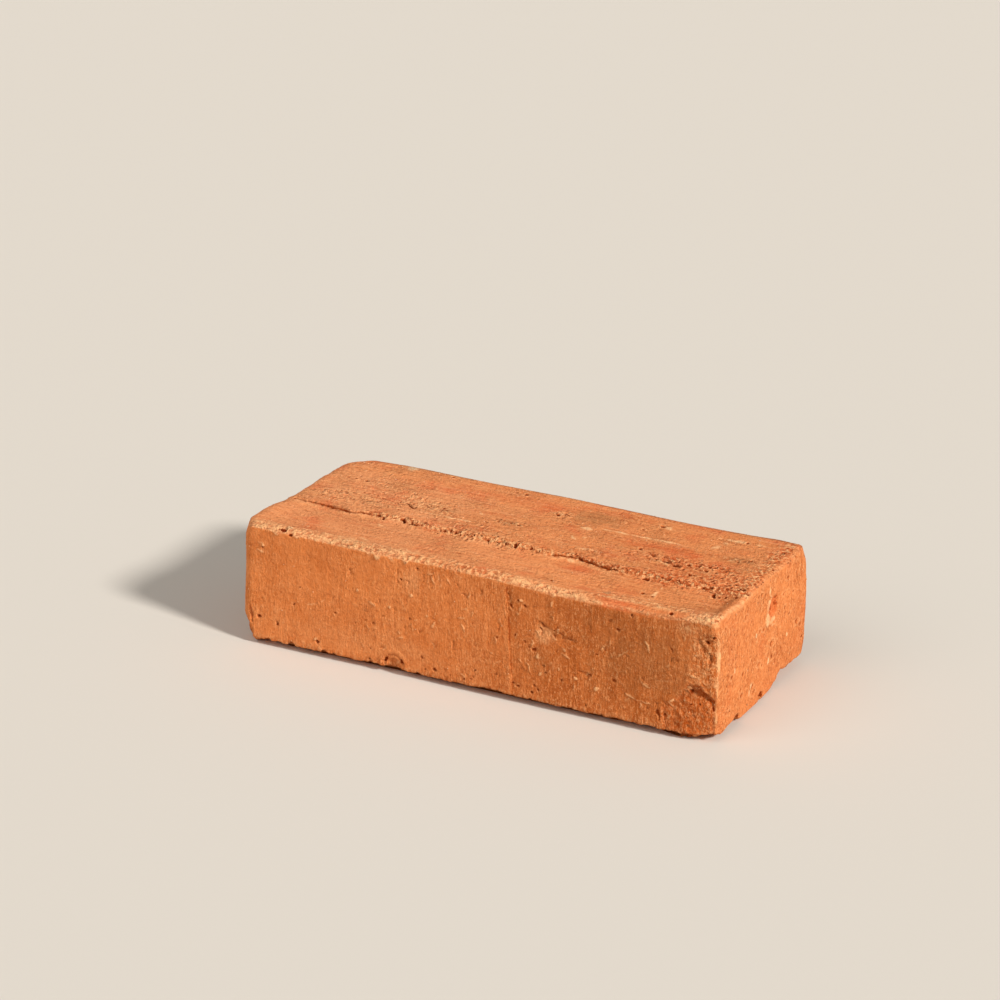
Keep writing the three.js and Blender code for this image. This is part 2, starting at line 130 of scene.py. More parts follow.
def moulded_block(share):
    """Points of the rounded block, and which way each faces."""
    at = share * (LENGTH, WIDTH, HEIGHT) - HALF
    u, v, from_right = at[:, 0] + HALF[0], at[:, 1] + HALF[1], HALF[0] - at[:, 0]
    worn = soft_step(WORN_CORNER_REACH, 0, np.maximum(u, HALF[1] - at[:, 1]))
    plan = CORNER_ROUND + (WORN_CORNER_ROUND - CORNER_ROUND) * worn
    keen_corner = soft_step(30, 10, np.maximum(from_right, v))
    plan += (KEEN_CORNER_ROUND - plan) * keen_corner * soft_step(53, 41, at[:, 2])
    keen = (1 - soft_step(100, 155, u)) * soft_step(20, 8, v)
    by_header = soft_step(26, 10, from_right)
    drop = ARRIS_DROP + (KEEN_ARRIS_DROP - ARRIS_DROP) * np.maximum(keen, 0.9 * by_header)
    keen_foot = by_header * soft_step(24, 31, v) * soft_step(70, 64, v)
    foot = BED_ARRIS_RISE - KEEN_FOOT_LESS * keen_foot
    rise = np.where(at[:, 2] < HEIGHT / 2, foot, drop)
    plan_u = plan * (1 - 0.55 * by_header * soft_step(38, 50, at[:, 2]))
    rounds = np.stack([plan_u, plan, rise], -1)
    core = np.stack([
        np.clip(at[:, 0], -HALF[0] + plan_u, HALF[0] - plan_u),
        np.clip(at[:, 1], -HALF[1] + plan, HALF[1] - plan),
        np.clip(at[:, 2], foot, HEIGHT - drop),
    ], -1)
    turn = (at - core) / rounds
    turn /= np.linalg.norm(turn, axis=1, keepdims=True)
    points = core + turn * rounds
    facing = turn / rounds
    facing /= np.linalg.norm(facing, axis=1, keepdims=True)
    x, y, z = points.T.copy()
    up = z / HEIGHT
    points[:, 2] += struck_lift(x, y) * soft_step(0.45, 0.98, up)
    end_wave = WAVE * np.sin(y * 0.08 + z * 0.06 + 2)
    side_wave = WAVE * np.sin(x * 0.045 + z * 0.07)
    drawn_in = FOOT_DRAWN_IN * soft_step(0, 12, z) * soft_step(-60, -HALF[0], x)
    bulge = END_BULGE * soft_step(0, 14, z) * soft_step(54, 34, z)
    bulge = bulge * soft_step(8, 44, y) * soft_step(60, HALF[0], x)
    bow = END_BOW * soft_step(20, 50, z) * soft_step(-60, -HALF[0], x) * hump(-30, 22, y)
    points[:, 0] += end_wave * (x / HALF[0]) ** 3 - END_LEAN * up * x / HALF[0] + drawn_in + bulge - bow
    points[:, 1] += side_wave * (y / HALF[1]) ** 3 + 0.6 * bulge
    return points, facing


# Sides of the brick: the two directions that a mark is placed along, and the way it faces.
SIDES = {
    "top": (0, 1, (0, 0, 1)), "bed": (0, 1, (0, 0, -1)),
    "front": (0, 2, (0, -1, 0)), "back": (0, 2, (0, 1, 0)),
    "header": (1, 2, (1, 0, 0)), "left": (1, 2, (-1, 0, 0)),
}
# What the clay is like at each point. Its colour: hole is in shadow, in a pore or a crack; pale
# has been rubbed or dragged; raw is broken open; soot is stained grey, and is also grey painted
# shade along the back arris and in hollows; lime is white with grains and mortar; dust is a paler
# skin; burnt is fired browner, and is also brown painted shade under the spall's ledge and in
# hollows. Its relief: struck is the struck top; porous is torn open by the strike; broken is coarse
# where the skin has gone; crumbly has fine crumbs lying on it; lively shows its drag lines more.
TONES = (
    "hole", "pale", "raw", "soot", "lime", "dust", "burnt",
    "struck", "porous", "broken", "crumbly", "lively",
)
IN_SHADOW = {"hole": 0.9}  # a pit or a furrow that is given no tone of its own
ALL = slice(None)


class Clay:
    """The skin of the brick as it is worked: its points, the way they face, and its tones."""

    def __init__(self, points, facing):
        self.points = points
        self.facing = facing
        self.tones = {name: np.zeros(len(points)) for name in TONES}
        # Marks are placed by points that stray a little, so that none has a drawn outline.
        stray = [
            uneven(points, 2.6, 11 + way) * 0.5 + uneven(points, 1.1, 21 + way) * 0.36 for way in range(3)
        ]
        self.placed = points + HALF + np.stack(stray, -1)

    def on(self, side):
        """1 on this side of the brick, and 0 past its arrises."""
        return soft_step(0.3, 0.75, self.facing @ SIDES[side][2])

    def near(self, side, low, high, reach):
        """Numbers of the points of a side near a box, their places, and their share of it."""
        a, b, way = SIDES[side]
        place = self.placed[:, (a, b)]
        inside = np.all((place > np.array(low) - reach) & (place < np.array(high) + reach), axis=1)
        picked = np.flatnonzero(inside & (self.facing @ way > 0.3))
        weight = soft_step(0.3, 0.6, self.facing[picked] @ way)
        return picked, place[picked], weight

    def lift(self, height, picked=ALL):
        """The picked points raised this far, or sunk."""
        self.points[picked] += self.facing[picked] * height[:, None]

    def tone(self, name, amount, picked=ALL):
        """The picked points are given at least this much of a tone."""
        self.tones[name][picked] = np.maximum(self.tones[name][picked], amount)

    def pit(self, side, a, b, size, deep, long=1.0, lean=0.0, lip=0.0, **tones):
        """A hollow this wide and deep, or a grain if deep is negative. It is long times as long,
        along a line that leans this many radians, and may have a raised, paler lip."""
        picked, place, weight = self.near(side, (a, b), (a, b), size * max(long, 1) * 1.2)
        cos, sin = math.cos(lean), math.sin(lean)
        off = place - (a, b)
        along = (off[:, 0] * cos + off[:, 1] * sin) / long
        across = off[:, 1] * cos - off[:, 0] * sin
        far = np.hypot(along, across) / (size / 2)
        inside = soft_step(1.1, 0.6, far) * weight
        rim = hump(1.45, 0.5, far) * weight
        self.lift(lip * rim - deep * inside, picked)
        self.tone("pale", 3 * lip * rim, picked)
        for name, amount in (tones or IN_SHADOW).items():
            self.tone(name, amount * soft_step(1.05, 0.7, far) * weight, picked)

    def groove(self, side, turns, wide, deep, broken=0.0, seed=1, **tones):
        """A furrow along a line of turning points, or a ridge if deep is negative; broken makes
        it come and go."""
        turns = np.array(turns, float)
        picked, place, weight = self.near(side, turns.min(0), turns.max(0), wide * 1.5)
        best = np.full(len(picked), np.inf)
        run = np.zeros(len(picked))
        done = 0.0
        for start, end in zip(turns, turns[1:]):
            step = end - start
            share = np.clip((place - start) @ step / (step @ step), 0, 1)
            far = np.linalg.norm(place - start - share[:, None] * step, axis=1)
            closer = far < best
            best[closer] = far[closer]
            run[closer] = done + share[closer] * np.linalg.norm(step)
            done += np.linalg.norm(step)
        line = np.stack([run, np.zeros_like(run), np.zeros_like(run)], -1)
        gaps = soft_step(0.2, -0.5, uneven(line, 3.4, seed + 1))
        change = 0.75 + 0.45 * uneven(line, 2.3, seed) - broken * gaps
        taper = soft_step(0, min(3, done / 3), run) * soft_step(done, done - min(3, done / 3), run)
        half = wide / 2 * np.clip(change, 0.05, 1.3) * (0.3 + 0.7 * taper)
        inside = soft_step(1.05, 0.5, best / half) * weight * np.clip(change, 0, 1)
        self.lift(-deep * inside, picked)
        for name, amount in (tones or IN_SHADOW).items():
            self.tone(name, amount * inside, picked)

    def patch(self, side, a, b, long, wide, seed=5, **tones):
        """A stain or rubbed place with a soft, speckled edge."""
        corner = np.array([long / 2, wide / 2])
        picked, place, weight = self.near(side, (a, b) - corner, (a, b) + corner, 3)
        far = np.hypot((place[:, 0] - a) / (long / 2), (place[:, 1] - b) / (wide / 2))
        points = self.points[picked]
        speckle = uneven(points, 1.4, seed) * 0.3 + uneven(points, 4.5, seed + 1) * 0.45
        inside = soft_step(1.15, 0.15, far + speckle) * weight
        for name, amount in tones.items():
            self.tone(name, amount * inside, picked)

    def scoop(self, centre, radii, turned=0.0, axis="Y", rough=0.1, lump=2.5, **tones):
        """Clay broken away as if by a rough ball: the points inside it sink to its far side."""
        turn = np.array(Matrix.Rotation(turned, 3, axis))
        centre = np.array(centre, float) - HALF
        off = self.points - centre
        picked = np.flatnonzero(np.all(np.abs(off) < max(radii) * 1.3, axis=1))
        points = self.points[picked]
        size = 1 + rough * uneven(points, lump, 71) + rough * 0.5 * uneven(points, lump * 0.4, 72)
        inner = off[picked] @ turn / radii / size[:, None]
        down = -self.facing[picked] @ turn / radii / size[:, None]
        # How far along its way down each point meets the ball, from a quadratic equation.
        a, b, c = (down**2).sum(1), (inner * down).sum(1), (inner**2).sum(1) - 1
        reach = b * b - a * c
        held = (c < 0) & (reach > 0)
        picked, fall = picked[held], ((-b + np.sqrt(np.maximum(reach, 0))) / a)[held]
        self.lift(-fall, picked)
        for name, amount in tones.items():
            self.tone(name, amount * soft_step(0, 0.5, fall), picked)


share, squares = block_net(NET)
clay = Clay(*moulded_block(share))
u, v, z = (clay.points + HALF).T
top, front, header = clay.on("top"), clay.on("front"), clay.on("header")
from_header = LENGTH - u
clay.tones["struck"] = soft_step(0.25, 0.6, clay.facing[:, 2])

# The struck top: long drag lines, rougher behind the crease, and a crumbled lap edge. The strike
# tore the clay along the crease and over most of the right half, and left it porous.
DRAG_HEIGHT, RIPPLE_HEIGHT, TORN_HEIGHT = 0.09, 0.16, 0.28
behind = clay.placed[:, 1] - crease_from_front(u)
drag = uneven(clay.points, (38, 1.6, 20), 31) + 0.8 * uneven(clay.points, (14, 0.9, 20), 32)
ripple = uneven(clay.points, (60, 6, 30), 33)
rear = soft_step(-1, 3, behind)
clay.lift(top * (DRAG_HEIGHT * drag * (0.4 + 0.6 * rear) + RIPPLE_HEIGHT * ripple))
lap_edge = top * hump(1.8, 2.8, behind)
torn_lap = soft_step(46, 66, u)
crumble = uneven(clay.points, 1.7, 34) + 0.8 * uneven(clay.points, 0.95, 35)
clay.lift(lap_edge * (0.12 + 0.12 * torn_lap + (0.12 + 0.3 * torn_lap) * crumble))
clay.tone("porous", lap_edge * (0.25 + 0.75 * torn_lap))
for a, b, long, wide, amount in [
    (103, 36, 72, 11, 1.0), (200, 36, 74, 14, 1.0), (194, 54, 74, 13, 1.0), (62, 60, 44, 24, 0.85),
    (28, 53, 50, 26, 0.75), (214, 44, 44, 40, 0.8), (118, 80, 16, 12, 0.7), (90, 45, 74, 12, 0.5),
    (222, 82, 12, 26, 0.9), (150, 45, 54, 14, 0.4), (30, 73, 44, 10, 0.5), (105, 57.5, 18, 9, 0.9),
    (206, 69, 26, 9, 0.6), (12, 95, 20, 12, 0.5),
]:
    clay.patch("top", a, b, long, wide, porous=amount)
rough_top = top * clay.tones["porous"]
clay.lift(rough_top * (TORN_HEIGHT * crumble + 0.12 * uneven(clay.points, (4, 1.2, 4), 36)))
clay.tone("dust", top * (0.2 + 0.6 * soft_step(190, 60, u)) * (0.6 + 0.4 * soft_step(3, -3, behind)))
clay.tone("dust", top * soft_step(105, 70, u) * soft_step(94, 80, v))
clay.tone("dust", 0.25 * header)
clay.tone("burnt", 0.16 * header + 0.2 * top * soft_step(110, 60, u) * soft_step(3, -3, behind))
clay.tone("pale", 0.3 * rough_top * soft_step(110, 60, u) * soft_step(0.1, 0.8, crumble))
clay.tone("crumbly", rough_top * 0.6)
clay.tone("raw", 0.7 * rough_top * soft_step(120, 170, u))
clay.tone("lively", top * (0.15 + 0.25 * rear) + 0.75 * header)
clay.tone("lively", 0.3 * front * soft_step(80, 150, u))

# The lap crease itself: open near the left end and again past the middle, and nearly pressed
# shut between and beyond.
CREASE_DEPTH = 1.9
stitch = uneven(clay.points, (2.4, 40, 40), 41) + 0.5 * uneven(clay.points, (1.1, 40, 40), 43)
left_slit = soft_step(6, 9, u) * soft_step(47, 42, u)
left_seam = soft_step(33, 37, u) * soft_step(74, 66, u)
middle_seam = 0.22 * soft_step(66, 74, u) * soft_step(136, 130, u)
right_crack = soft_step(133, 138, u) * soft_step(170, 164, u)
right_seam = soft_step(164, 172, u) * soft_step(222, 214, u)
open_crease = left_slit * (0.62 + 0.38 * stitch) + 0.5 * left_seam * soft_step(-0.5, 0.5, stitch)
open_crease += right_crack * (0.46 + 0.34 * stitch) + 0.35 * right_seam * soft_step(-0.2, 0.5, stitch)
open_crease = np.clip(open_crease, 0, 1)
open_crease = np.maximum(open_crease, middle_seam * soft_step(-0.5, 0.3, stitch))
half_crease = 0.3 + 0.5 * open_crease
furrow = top * soft_step(1.05, 0.45, np.abs(behind) / half_crease) * soft_step(0.1, 0.3, open_crease)
clay.lift(-CREASE_DEPTH * furrow * (0.25 + 0.75 * open_crease))
clay.tone("hole", furrow * soft_step(0.05, 0.45, open_crease))
clay.lift(0.25 * top * hump(-2.4, 1.6, behind) * (left_slit + right_crack))
# Painted shade: the face of the lap's step is darkened in places.
step_face = top * hump(0.1, 0.7, behind) * soft_step(40, 60, u) * soft_step(223, 216, u)
clay.tone("hole", 0.45 * step_face * soft_step(0.3, 0.8, stitch + 0.5 * crumble))
clay.tone("crumbly", top * hump(0.3, 3.2, behind) * soft_step(30, 50, u) * 0.9)
pale_rim = left_slit * (0.5 + 0.5 * stitch) + 0.6 * right_crack
clay.tone("pale", 0.5 * top * hump(-2.2, 1.3, behind) * pale_rim)

# Pits in the top, each with its place, size and depth, how much longer than wide it is, and its
# lean. They are finer along the crease and by the header. The round ones lie across the brick.
for a, b, size, deep, long, lean in [
    (49.6, 38.8, 2.2, 2.4, 1.5, -0.6), (52.4, 37.0, 2.0, 2.2, 1.3, 0.8),
    (62.4, 38.3, 2.4, 2.6, 1.2, -1.0), (7.0, 37.3, 2.0, 1.8, 1.7, -0.9), (25, 73, 1.6, 1.3, 1, 0),
    (14.7, 73.7, 1.5, 1.0, 1.5, -0.8), (19.2, 73.3, 1.3, 0.9, 1.5, -0.8), (38, 64, 1.1, 0.8, 1.6, -0.8),
    (55.5, 98.5, 1.8, 1.2, 1.4, -0.6), (94.5, 95.2, 1.7, 1.5, 1.3, -0.8), (117.7, 79.6, 2.0, 1.5, 1.2, 0),
    (122, 81, 1.3, 0.8, 1.8, -0.7), (157, 83.5, 1.3, 0.9, 1.5, -0.6), (163.4, 90.6, 2.2, 1.7, 1.6, -0.7),
    (165.9, 60.3, 1.6, 1.3, 1.2, -0.6), (170.8, 58.3, 1.3, 1.2, 1.9, -0.6),
    (174.9, 58.0, 1.2, 0.8, 1.8, -0.6), (174.3, 54.9, 1.5, 1.4, 1.6, -0.6),
    (177.3, 52.2, 1.7, 1.7, 1.7, -0.5), (187.9, 43.6, 1.4, 1.1, 1.4, 1.2),
    (196.9, 42.8, 1.7, 1.2, 1.2, -0.5), (186, 18.4, 1.6, 1.4, 1.1, 0), (191, 17.4, 1.3, 1.0, 1.4, -0.5),
    (181.2, 32.4, 1.6, 1.1, 2.4, -0.2), (213, 29.8, 1.9, 1.6, 1.2, 0), (204, 90, 1.5, 1.1, 1.4, -0.7),
    (205.4, 56.2, 1.9, 1.5, 1.4, -0.8), (201, 54.9, 1.4, 1.2, 1.3, -0.9),
    (203.2, 54.8, 1.5, 1.2, 1.4, 0.9), (201, 50.3, 1.6, 1.2, 1.3, -0.5),
    (205.3, 50.3, 1.3, 1.0, 1.3, 1.2), (212.7, 51.3, 1.5, 1.1, 1.5, -0.4),
    (217.4, 44.5, 1.3, 0.9, 1.3, 0), (218.6, 41.6, 1.1, 0.8, 1.3, 0), (202.3, 41.5, 1.5, 1.0, 1.8, -0.3),
    (207.1, 33.7, 1.4, 1.0, 1.4, 0.4), (216.7, 35.6, 1.1, 1.0, 2.4, -0.7),
    (218.4, 30.1, 1.2, 0.9, 1.3, 0), (215.8, 29.4, 1.1, 0.8, 1.3, 0.9), (221.4, 36.2, 1.9, 1.3, 1.2, 0.6),
    (223, 31.4, 1.7, 1.3, 1.2, -0.6), (222.3, 44.1, 1.4, 0.9, 1.5, -0.3),
    (226.2, 52.5, 1.7, 1.2, 1.4, -0.3), (226.5, 50, 1.3, 0.9, 1.2, 0.8),
    (225.5, 66.3, 1.5, 1.2, 1.3, -0.5), (208.5, 67, 1.6, 1.3, 1.5, -0.2), (213, 71.2, 1.4, 1.3, 1.2, 0),
    (147, 11, 1.1, 0.8, 1.2, -0.3), (78, 6, 1.4, 1.0, 1.4, -0.8), (205.5, 3, 1.4, 1.2, 1, 0),
    (192.2, 53.3, 1.7, 1.2, 1.1, -0.4), (185.7, 53.9, 1.2, 0.9, 1.5, 0.6),
    (191.5, 46.7, 1.1, 0.8, 1.2, 0), (196.6, 50.9, 1.2, 0.9, 1.2, 0), (198.5, 42.7, 1.1, 0.8, 1.2, 0),
    (187.8, 34.5, 1.3, 0.9, 1.4, -0.4), (73.1, 37.3, 1.2, 1.0, 1.5, 1.0),
    (78.2, 37.9, 1.2, 1.0, 1.8, 0.9), (82.2, 34.9, 1.2, 1.0, 1.5, -0.5), (84, 35.4, 1.1, 0.9, 1.4, -0.5),
    (87, 35.9, 1.1, 0.9, 1.6, -0.5), (89.4, 35.5, 1.4, 1.2, 1.5, -0.5), (92, 34.6, 1.1, 0.9, 1.9, -0.4),
    (91.4, 38.9, 1.2, 1.0, 1.3, 0), (94.4, 35.3, 1.3, 1.1, 1.7, -0.4), (95.7, 37.8, 1.7, 1.5, 1.2, -0.6),
    (98.2, 36.2, 1.7, 1.5, 1.3, -0.6), (100.8, 37.8, 1.6, 1.4, 1.5, 1.3), (102.6, 36.9, 1.1, 0.9, 1.3, 0),
    (105.7, 34.2, 1.4, 1.2, 1.9, -0.6), (106.9, 36.8, 1.1, 0.9, 1.3, -0.8),
    (109.5, 37.2, 1.2, 1.0, 1.9, 1.2), (109.6, 34.9, 1.1, 0.9, 1.2, -0.5),
    (112, 30.8, 1.2, 1.0, 1.9, -0.8), (114.3, 34.4, 1.5, 1.2, 1.3, 1.6),
    (118.7, 34.4, 2.0, 1.5, 1.2, 1.2), (117.2, 34.8, 1.2, 0.9, 1.2, -0.6),
    (121.7, 34.6, 0.9, 0.7, 2.4, 0), (130, 34.3, 1.3, 1.1, 1.4, -0.6), (126, 34.6, 1.1, 0.8, 1.5, 0.6),
    (42.3, 56.5, 1.3, 1.0, 1.4, 1.3), (54, 48, 1.2, 0.9, 1.7, -0.9), (95, 53.6, 1.2, 0.9, 2.2, -0.5),
    (99.6, 56.2, 1.4, 1.1, 1.2, 0), (99, 58.5, 1.2, 0.9, 1.4, 0.4), (101, 59.2, 1.2, 0.9, 1.4, -0.2),
    (105.2, 57.6, 1.4, 1.1, 1.3, 0.9), (108.9, 57.1, 1.6, 1.2, 1.3, -0.5),
]:
    if long <= 1.3:
        long, lean = 2.0, 2.0
    along_crease, by_header = abs(b - 36) < 4 and a < 140, a > 220
    finer = 0.72 if along_crease or by_header else 1.0
    clay.pit("top", a, b, size * finer, deep * 0.55, long, lean, lip=0.2 * finer - 0.06, hole=1.0)

# Tears and cracks in the top, with the clay thrown up beside them.
for turns, wide, deep, broken, seed, tones in [
    ([(171.5, 57.9), (173.6, 56.6), (176, 54.8)], 3.0, 1.3, 0, 2, {"hole": 1.0}),
    ([(179.0, 53.9), (181, 52.4), (183.5, 51.3), (185.2, 50.9)], 4.2, 2.0, 0, 3, {"hole": 1.0}),
    ([(185.2, 51.3), (187.2, 50.2), (189.6, 48.0)], 4.2, 2.0, 0, 9, {"hole": 1.0}),
    ([(178, 50.6), (182, 49.3), (187.5, 46.9)], 1.4, -0.3, 0, 10, {"pale": 0.9}),
    ([(181, 55.2), (184.5, 54), (189, 51.5)], 1.4, -0.3, 0, 12, {"pale": 0.8}),
    ([(220.9, 39.2), (223.5, 38.2), (226.2, 37.2), (227.6, 34.8), (227.6, 32.6)], 3.0, 1.4, 0, 4,
     {"hole": 1.0}),
    ([(54.5, 56), (56.5, 54.4), (59, 53.4), (61, 54)], 1.5, 0.9, 0, 5, {"hole": 0.85}),
    ([(64, 36.9), (67.2, 36.5), (70.4, 35.9)], 1.1, 0.8, 0, 11, {"hole": 0.8}),
    ([(161, 56.5), (168, 56), (174, 54), (180, 52)], 1.3, 0.6, 0.9, 6, {"hole": 0.5}),
    ([(168, 34), (180, 35.6), (196, 33.5), (222, 31)], 1.2, 0.9, 1.1, 8, {"hole": 0.6}),
]:
    clay.groove("top", turns, wide, deep, broken, seed, **tones)

# Pale scratches and rubbed streaks, which stand a little proud of the top.
for turns, wide in [
    ([(138.5, 73.5), (160, 74.5), (179, 74.6)], 1.2),
    ([(188, 71.7), (192, 76), (195, 83), (196.5, 88.6)], 2.2),
    ([(190, 90.5), (205, 90), (219, 89.6)], 1.3), ([(204, 66.5), (208, 70.5)], 1.4),
    ([(191, 13), (190.6, 28)], 1.3), ([(50, 70), (50.8, 70.9)], 1.3), ([(86, 65.5), (88.5, 61.5)], 1.4),
    ([(139, 59.4), (141, 58.6)], 1.6), ([(64, 50.5), (76, 50.3), (90, 49.8)], 1.0),
    ([(69, 80), (70, 78)], 0.8), ([(143, 45.5), (149, 47), (152, 46)], 1.0),
    ([(134.5, 58), (138, 54), (144, 52)], 0.9), ([(28, 14), (29.5, 10)], 1.2),
    ([(53, 12.5), (60, 10.5)], 1.2), ([(143, 34.0), (148, 33.4)], 1.2), ([(52, 31), (57, 29.5)], 0.9),
    ([(190, 38), (194, 37)], 1.5), ([(126, 39), (125, 38.4)], 1.4), ([(118.5, 81.3), (120.5, 80.6)], 1.6),
    ([(165.3, 90.4), (168.3, 89)], 3.0), ([(133.5, 70.5), (138.5, 70)], 2.2),
]:
    clay.groove("top", turns, wide * 1.7, -0.15, broken=0.5, seed=int(turns[0][0]), pale=1.0, lime=0.15)

# Stains, rubbed places and redder clay in the top, and painted shade along its back arris.
for a, b, long, wide, seed, tones in [
    (34.5, 98.5, 7, 5.5, 81, {"lime": 0.8}), (105, 57.5, 18, 9, 82, {"soot": 0.6}),
    (136, 84, 30, 18, 83, {"soot": 0.6}), (207, 68, 26, 9, 84, {"soot": 0.6}),
    (66, 56, 34, 12, 61, {"soot": 0.12}), (14, 94, 22, 12, 62, {"raw": 0.5, "pale": 0.25}),
    (174, 66, 62, 15, 63, {"raw": 0.55}), (100, 88, 80, 16, 64, {"raw": 0.35}),
    (196, 45, 60, 9, 65, {"raw": 0.5}), (173, 11, 4, 3, 85, {"soot": 0.8, "lime": 0.2}),
    (28, 36.5, 16, 4, 86, {"soot": 0.6}), (151, 29, 20, 9, 87, {"raw": 0.55}),
    (47, 40, 10, 6, 88, {"raw": 0.35}), (42, 50, 12, 9, 89, {"soot": 0.22, "pale": 0.3}),
    (212, 14, 26, 10, 90, {"soot": 0.3}),
]:
    clay.patch("top", a, b, long, wide, seed, **tones)
# Painted shade: a thin grey-brown line along the back arris, on its shadow side.
back_arris_shade = soft_step(99, 101, clay.placed[:, 1]) * soft_step(0.2, 0.6, clay.facing[:, 2])
clay.tone("soot", back_arris_shade * (0.8 + 0.5 * uneven(clay.points, (9, 3, 3), 42)))

# The strike dragged a thin burr of clay over the front arris. It ends in a ragged edge with
# nicks in it, and it is crumbled and rubbed pale along a band of the top.
BURR_THICK, FLAKE_HEIGHT = 0.22, 0.34
burr_edge = 55.1 - 1.1 * soft_step(100, 140, u) - 0.9 * soft_step(150, 168, u)
burr_edge += 0.8 * soft_step(198, 214, u)
burr_edge += 0.35 * uneven(clay.points, (2.2, 90, 90), 51) + 0.25 * uneven(clay.points, (0.9, 90, 90), 52)
for at, wide, fall in [
    (19.5, 2.2, 1.5), (66, 3, 1.2), (70, 2.6, 3.2), (76.3, 1.7, 1.6), (83.5, 2.4, 2.2), (107, 2.2, 1.2),
    (153, 4, 1.8), (30, 2, 0.8), (103, 2, 1.0), (122, 1.8, 0.7),
]:
    burr_edge -= fall * hump(at, wide, u + 0.6 * uneven(clay.points, (90, 90, 1.1), 53))
burr = soft_step(-0.4, 0.4, z - burr_edge) * front * soft_step(2.5, 6, u) * soft_step(227, 222, u)
clay.lift(BURR_THICK * burr * soft_step(1.0, 0.5, clay.facing[:, 2]))
band_width = 8.5 + 3 * hump(75, 40, u) - 2 * hump(150, 40, u) + 3 * soft_step(208, 222, u)
band = soft_step(1.1, 0.2, v / band_width + 0.35 * uneven(clay.points, (7, 1.5, 5), 54))
smooth_strip = soft_step(160, 176, u) * soft_step(218, 210, u)
band *= 1 - smooth_strip
flaky = uneven(clay.points, (2.0, 1.3, 1.1), 56) + 0.9 * uneven(clay.points, (1.0, 1.0, 0.8), 57)
rubbed = np.maximum(burr, band * top) * soft_step(2, 5, u)
clay.tone("pale", rubbed * (0.3 + 0.65 * soft_step(0.0, 0.5, flaky)) * (1 - 0.85 * hump(112, 40, u)))
clay.tone("raw", rubbed * 0.4 * soft_step(-0.4, -0.9, flaky))
clay.tone("broken", 0.2 * rubbed)
clay.tone("crumbly", 0.7 * rubbed)
clay.tone("dust", 1.4 * rubbed * (1 - 0.95 * hump(112, 40, u)))
clay.lift(FLAKE_HEIGHT * np.clip(flaky, -1, 1) * rubbed)

# Past the middle the band gives way to a smooth strip between two ragged ridges.
ragged = uneven(clay.points, (3, 60, 60), 55) + 0.6 * uneven(clay.points, (1.1, 60, 60), 59)
for at, wide in ((6.2, 3.2), (10.0, 1.4)):
    line = smooth_strip * top * hump(at + 1.1 * ragged, wide * (0.7 + 0.5 * ragged), v)
    clay.tone("pale", 0.8 * line * soft_step(-0.4, 0.4, flaky + 0.3))
    clay.tone("crumbly", 0.8 * line)
    clay.lift(0.3 * line)
clay.tone("raw", 0.25 * smooth_strip * soft_step(4.2, 3.2, v + 0.5 * ragged) * soft_step(51.5, 53, z))

# The header's upper arris, rubbed pale, with darker, crumbling clay behind it, and the wear on
# every other arris.
worn_crumbs = soft_step(-0.3, 0.8, uneven(clay.points, 1.9, 49) + 0.6 * uneven(clay.points, 1.0, 50))
end_line = np.maximum(top, header) * hump(1.6, 1.3, from_header) * soft_step(52, 54, z)
clay.tone("pale", end_line * (0.2 + 0.7 * soft_step(44, 30, v)) * (0.6 + 0.4 * flaky))
# Just inside the end lip the top is darker and browner, with a darker grey line along the lip's inner
# side.
end_dark = top * soft_step(2.6, 4, from_header) * soft_step(14, 5, from_header) * soft_step(6, 14, v)
clay.tone("burnt", 0.7 * end_dark * soft_step(38, 30, v))
clay.tone("crumbly", 0.8 * end_dark * soft_step(30, 36, v))
clay.tone("soot", 0.5 * top * hump(6.2, 1.8, from_header) * soft_step(18, 22, v) * soft_step(36, 31, v))
worn_edge = soft_step(0.93, 0.72, np.abs(clay.facing).max(axis=1)) * soft_step(3, 9, z)
clay.tone("pale", 0.3 * worn_edge * worn_crumbs * (1 - smooth_strip) * soft_step(2, 8, from_header))
clay.lift(0.2 * worn_edge * (worn_crumbs - 0.5))

# The upright arris between the front and the header, darker and flaking, with crumbs at its top
# and pale ridges down its header side.
upright = front * soft_step(214, 221, u) * soft_step(18, 28, z) * soft_step(53, 48, z)
clay.tone("broken", 0.35 * upright)
clay.tone("crumbly", 0.25 * upright)
clay.tone("pale", 0.3 * upright * soft_step(0.3, 0.9, flaky))
clay.tone("burnt", 1.2 * upright)
clay.lift(0.28 * upright * np.clip(flaky, -1, 1))
corner_crumbs = top * soft_step(14, 6, from_header) * soft_step(14, 6, v)
clay.tone("pale", 0.7 * corner_crumbs * soft_step(-0.2, 0.5, flaky))
clay.tone("crumbly", corner_crumbs)
for turns, wide, amount in [
    ([(1.4, 48), (1.2, 42), (1.8, 36), (1.2, 30)], 3.4, 1.0),
    ([(1.2, 31), (1.6, 25), (1.4, 17), (1.8, 9)], 2.3, 1.0),
    ([(5.2, 49), (4.6, 44), (4.5, 37.5)], 1.1, 0.8), ([(3.6, 36), (3.4, 31), (3.6, 27)], 0.9, 0.5),
    ([(2.4, 51), (2.8, 47)], 1.2, 0.6), ([(9, 48), (9.4, 44)], 0.8, 0.4),
]:
    clay.groove("header", turns, wide, -0.22, broken=0.25, seed=int(turns[0][1]) + 100, pale=amount)

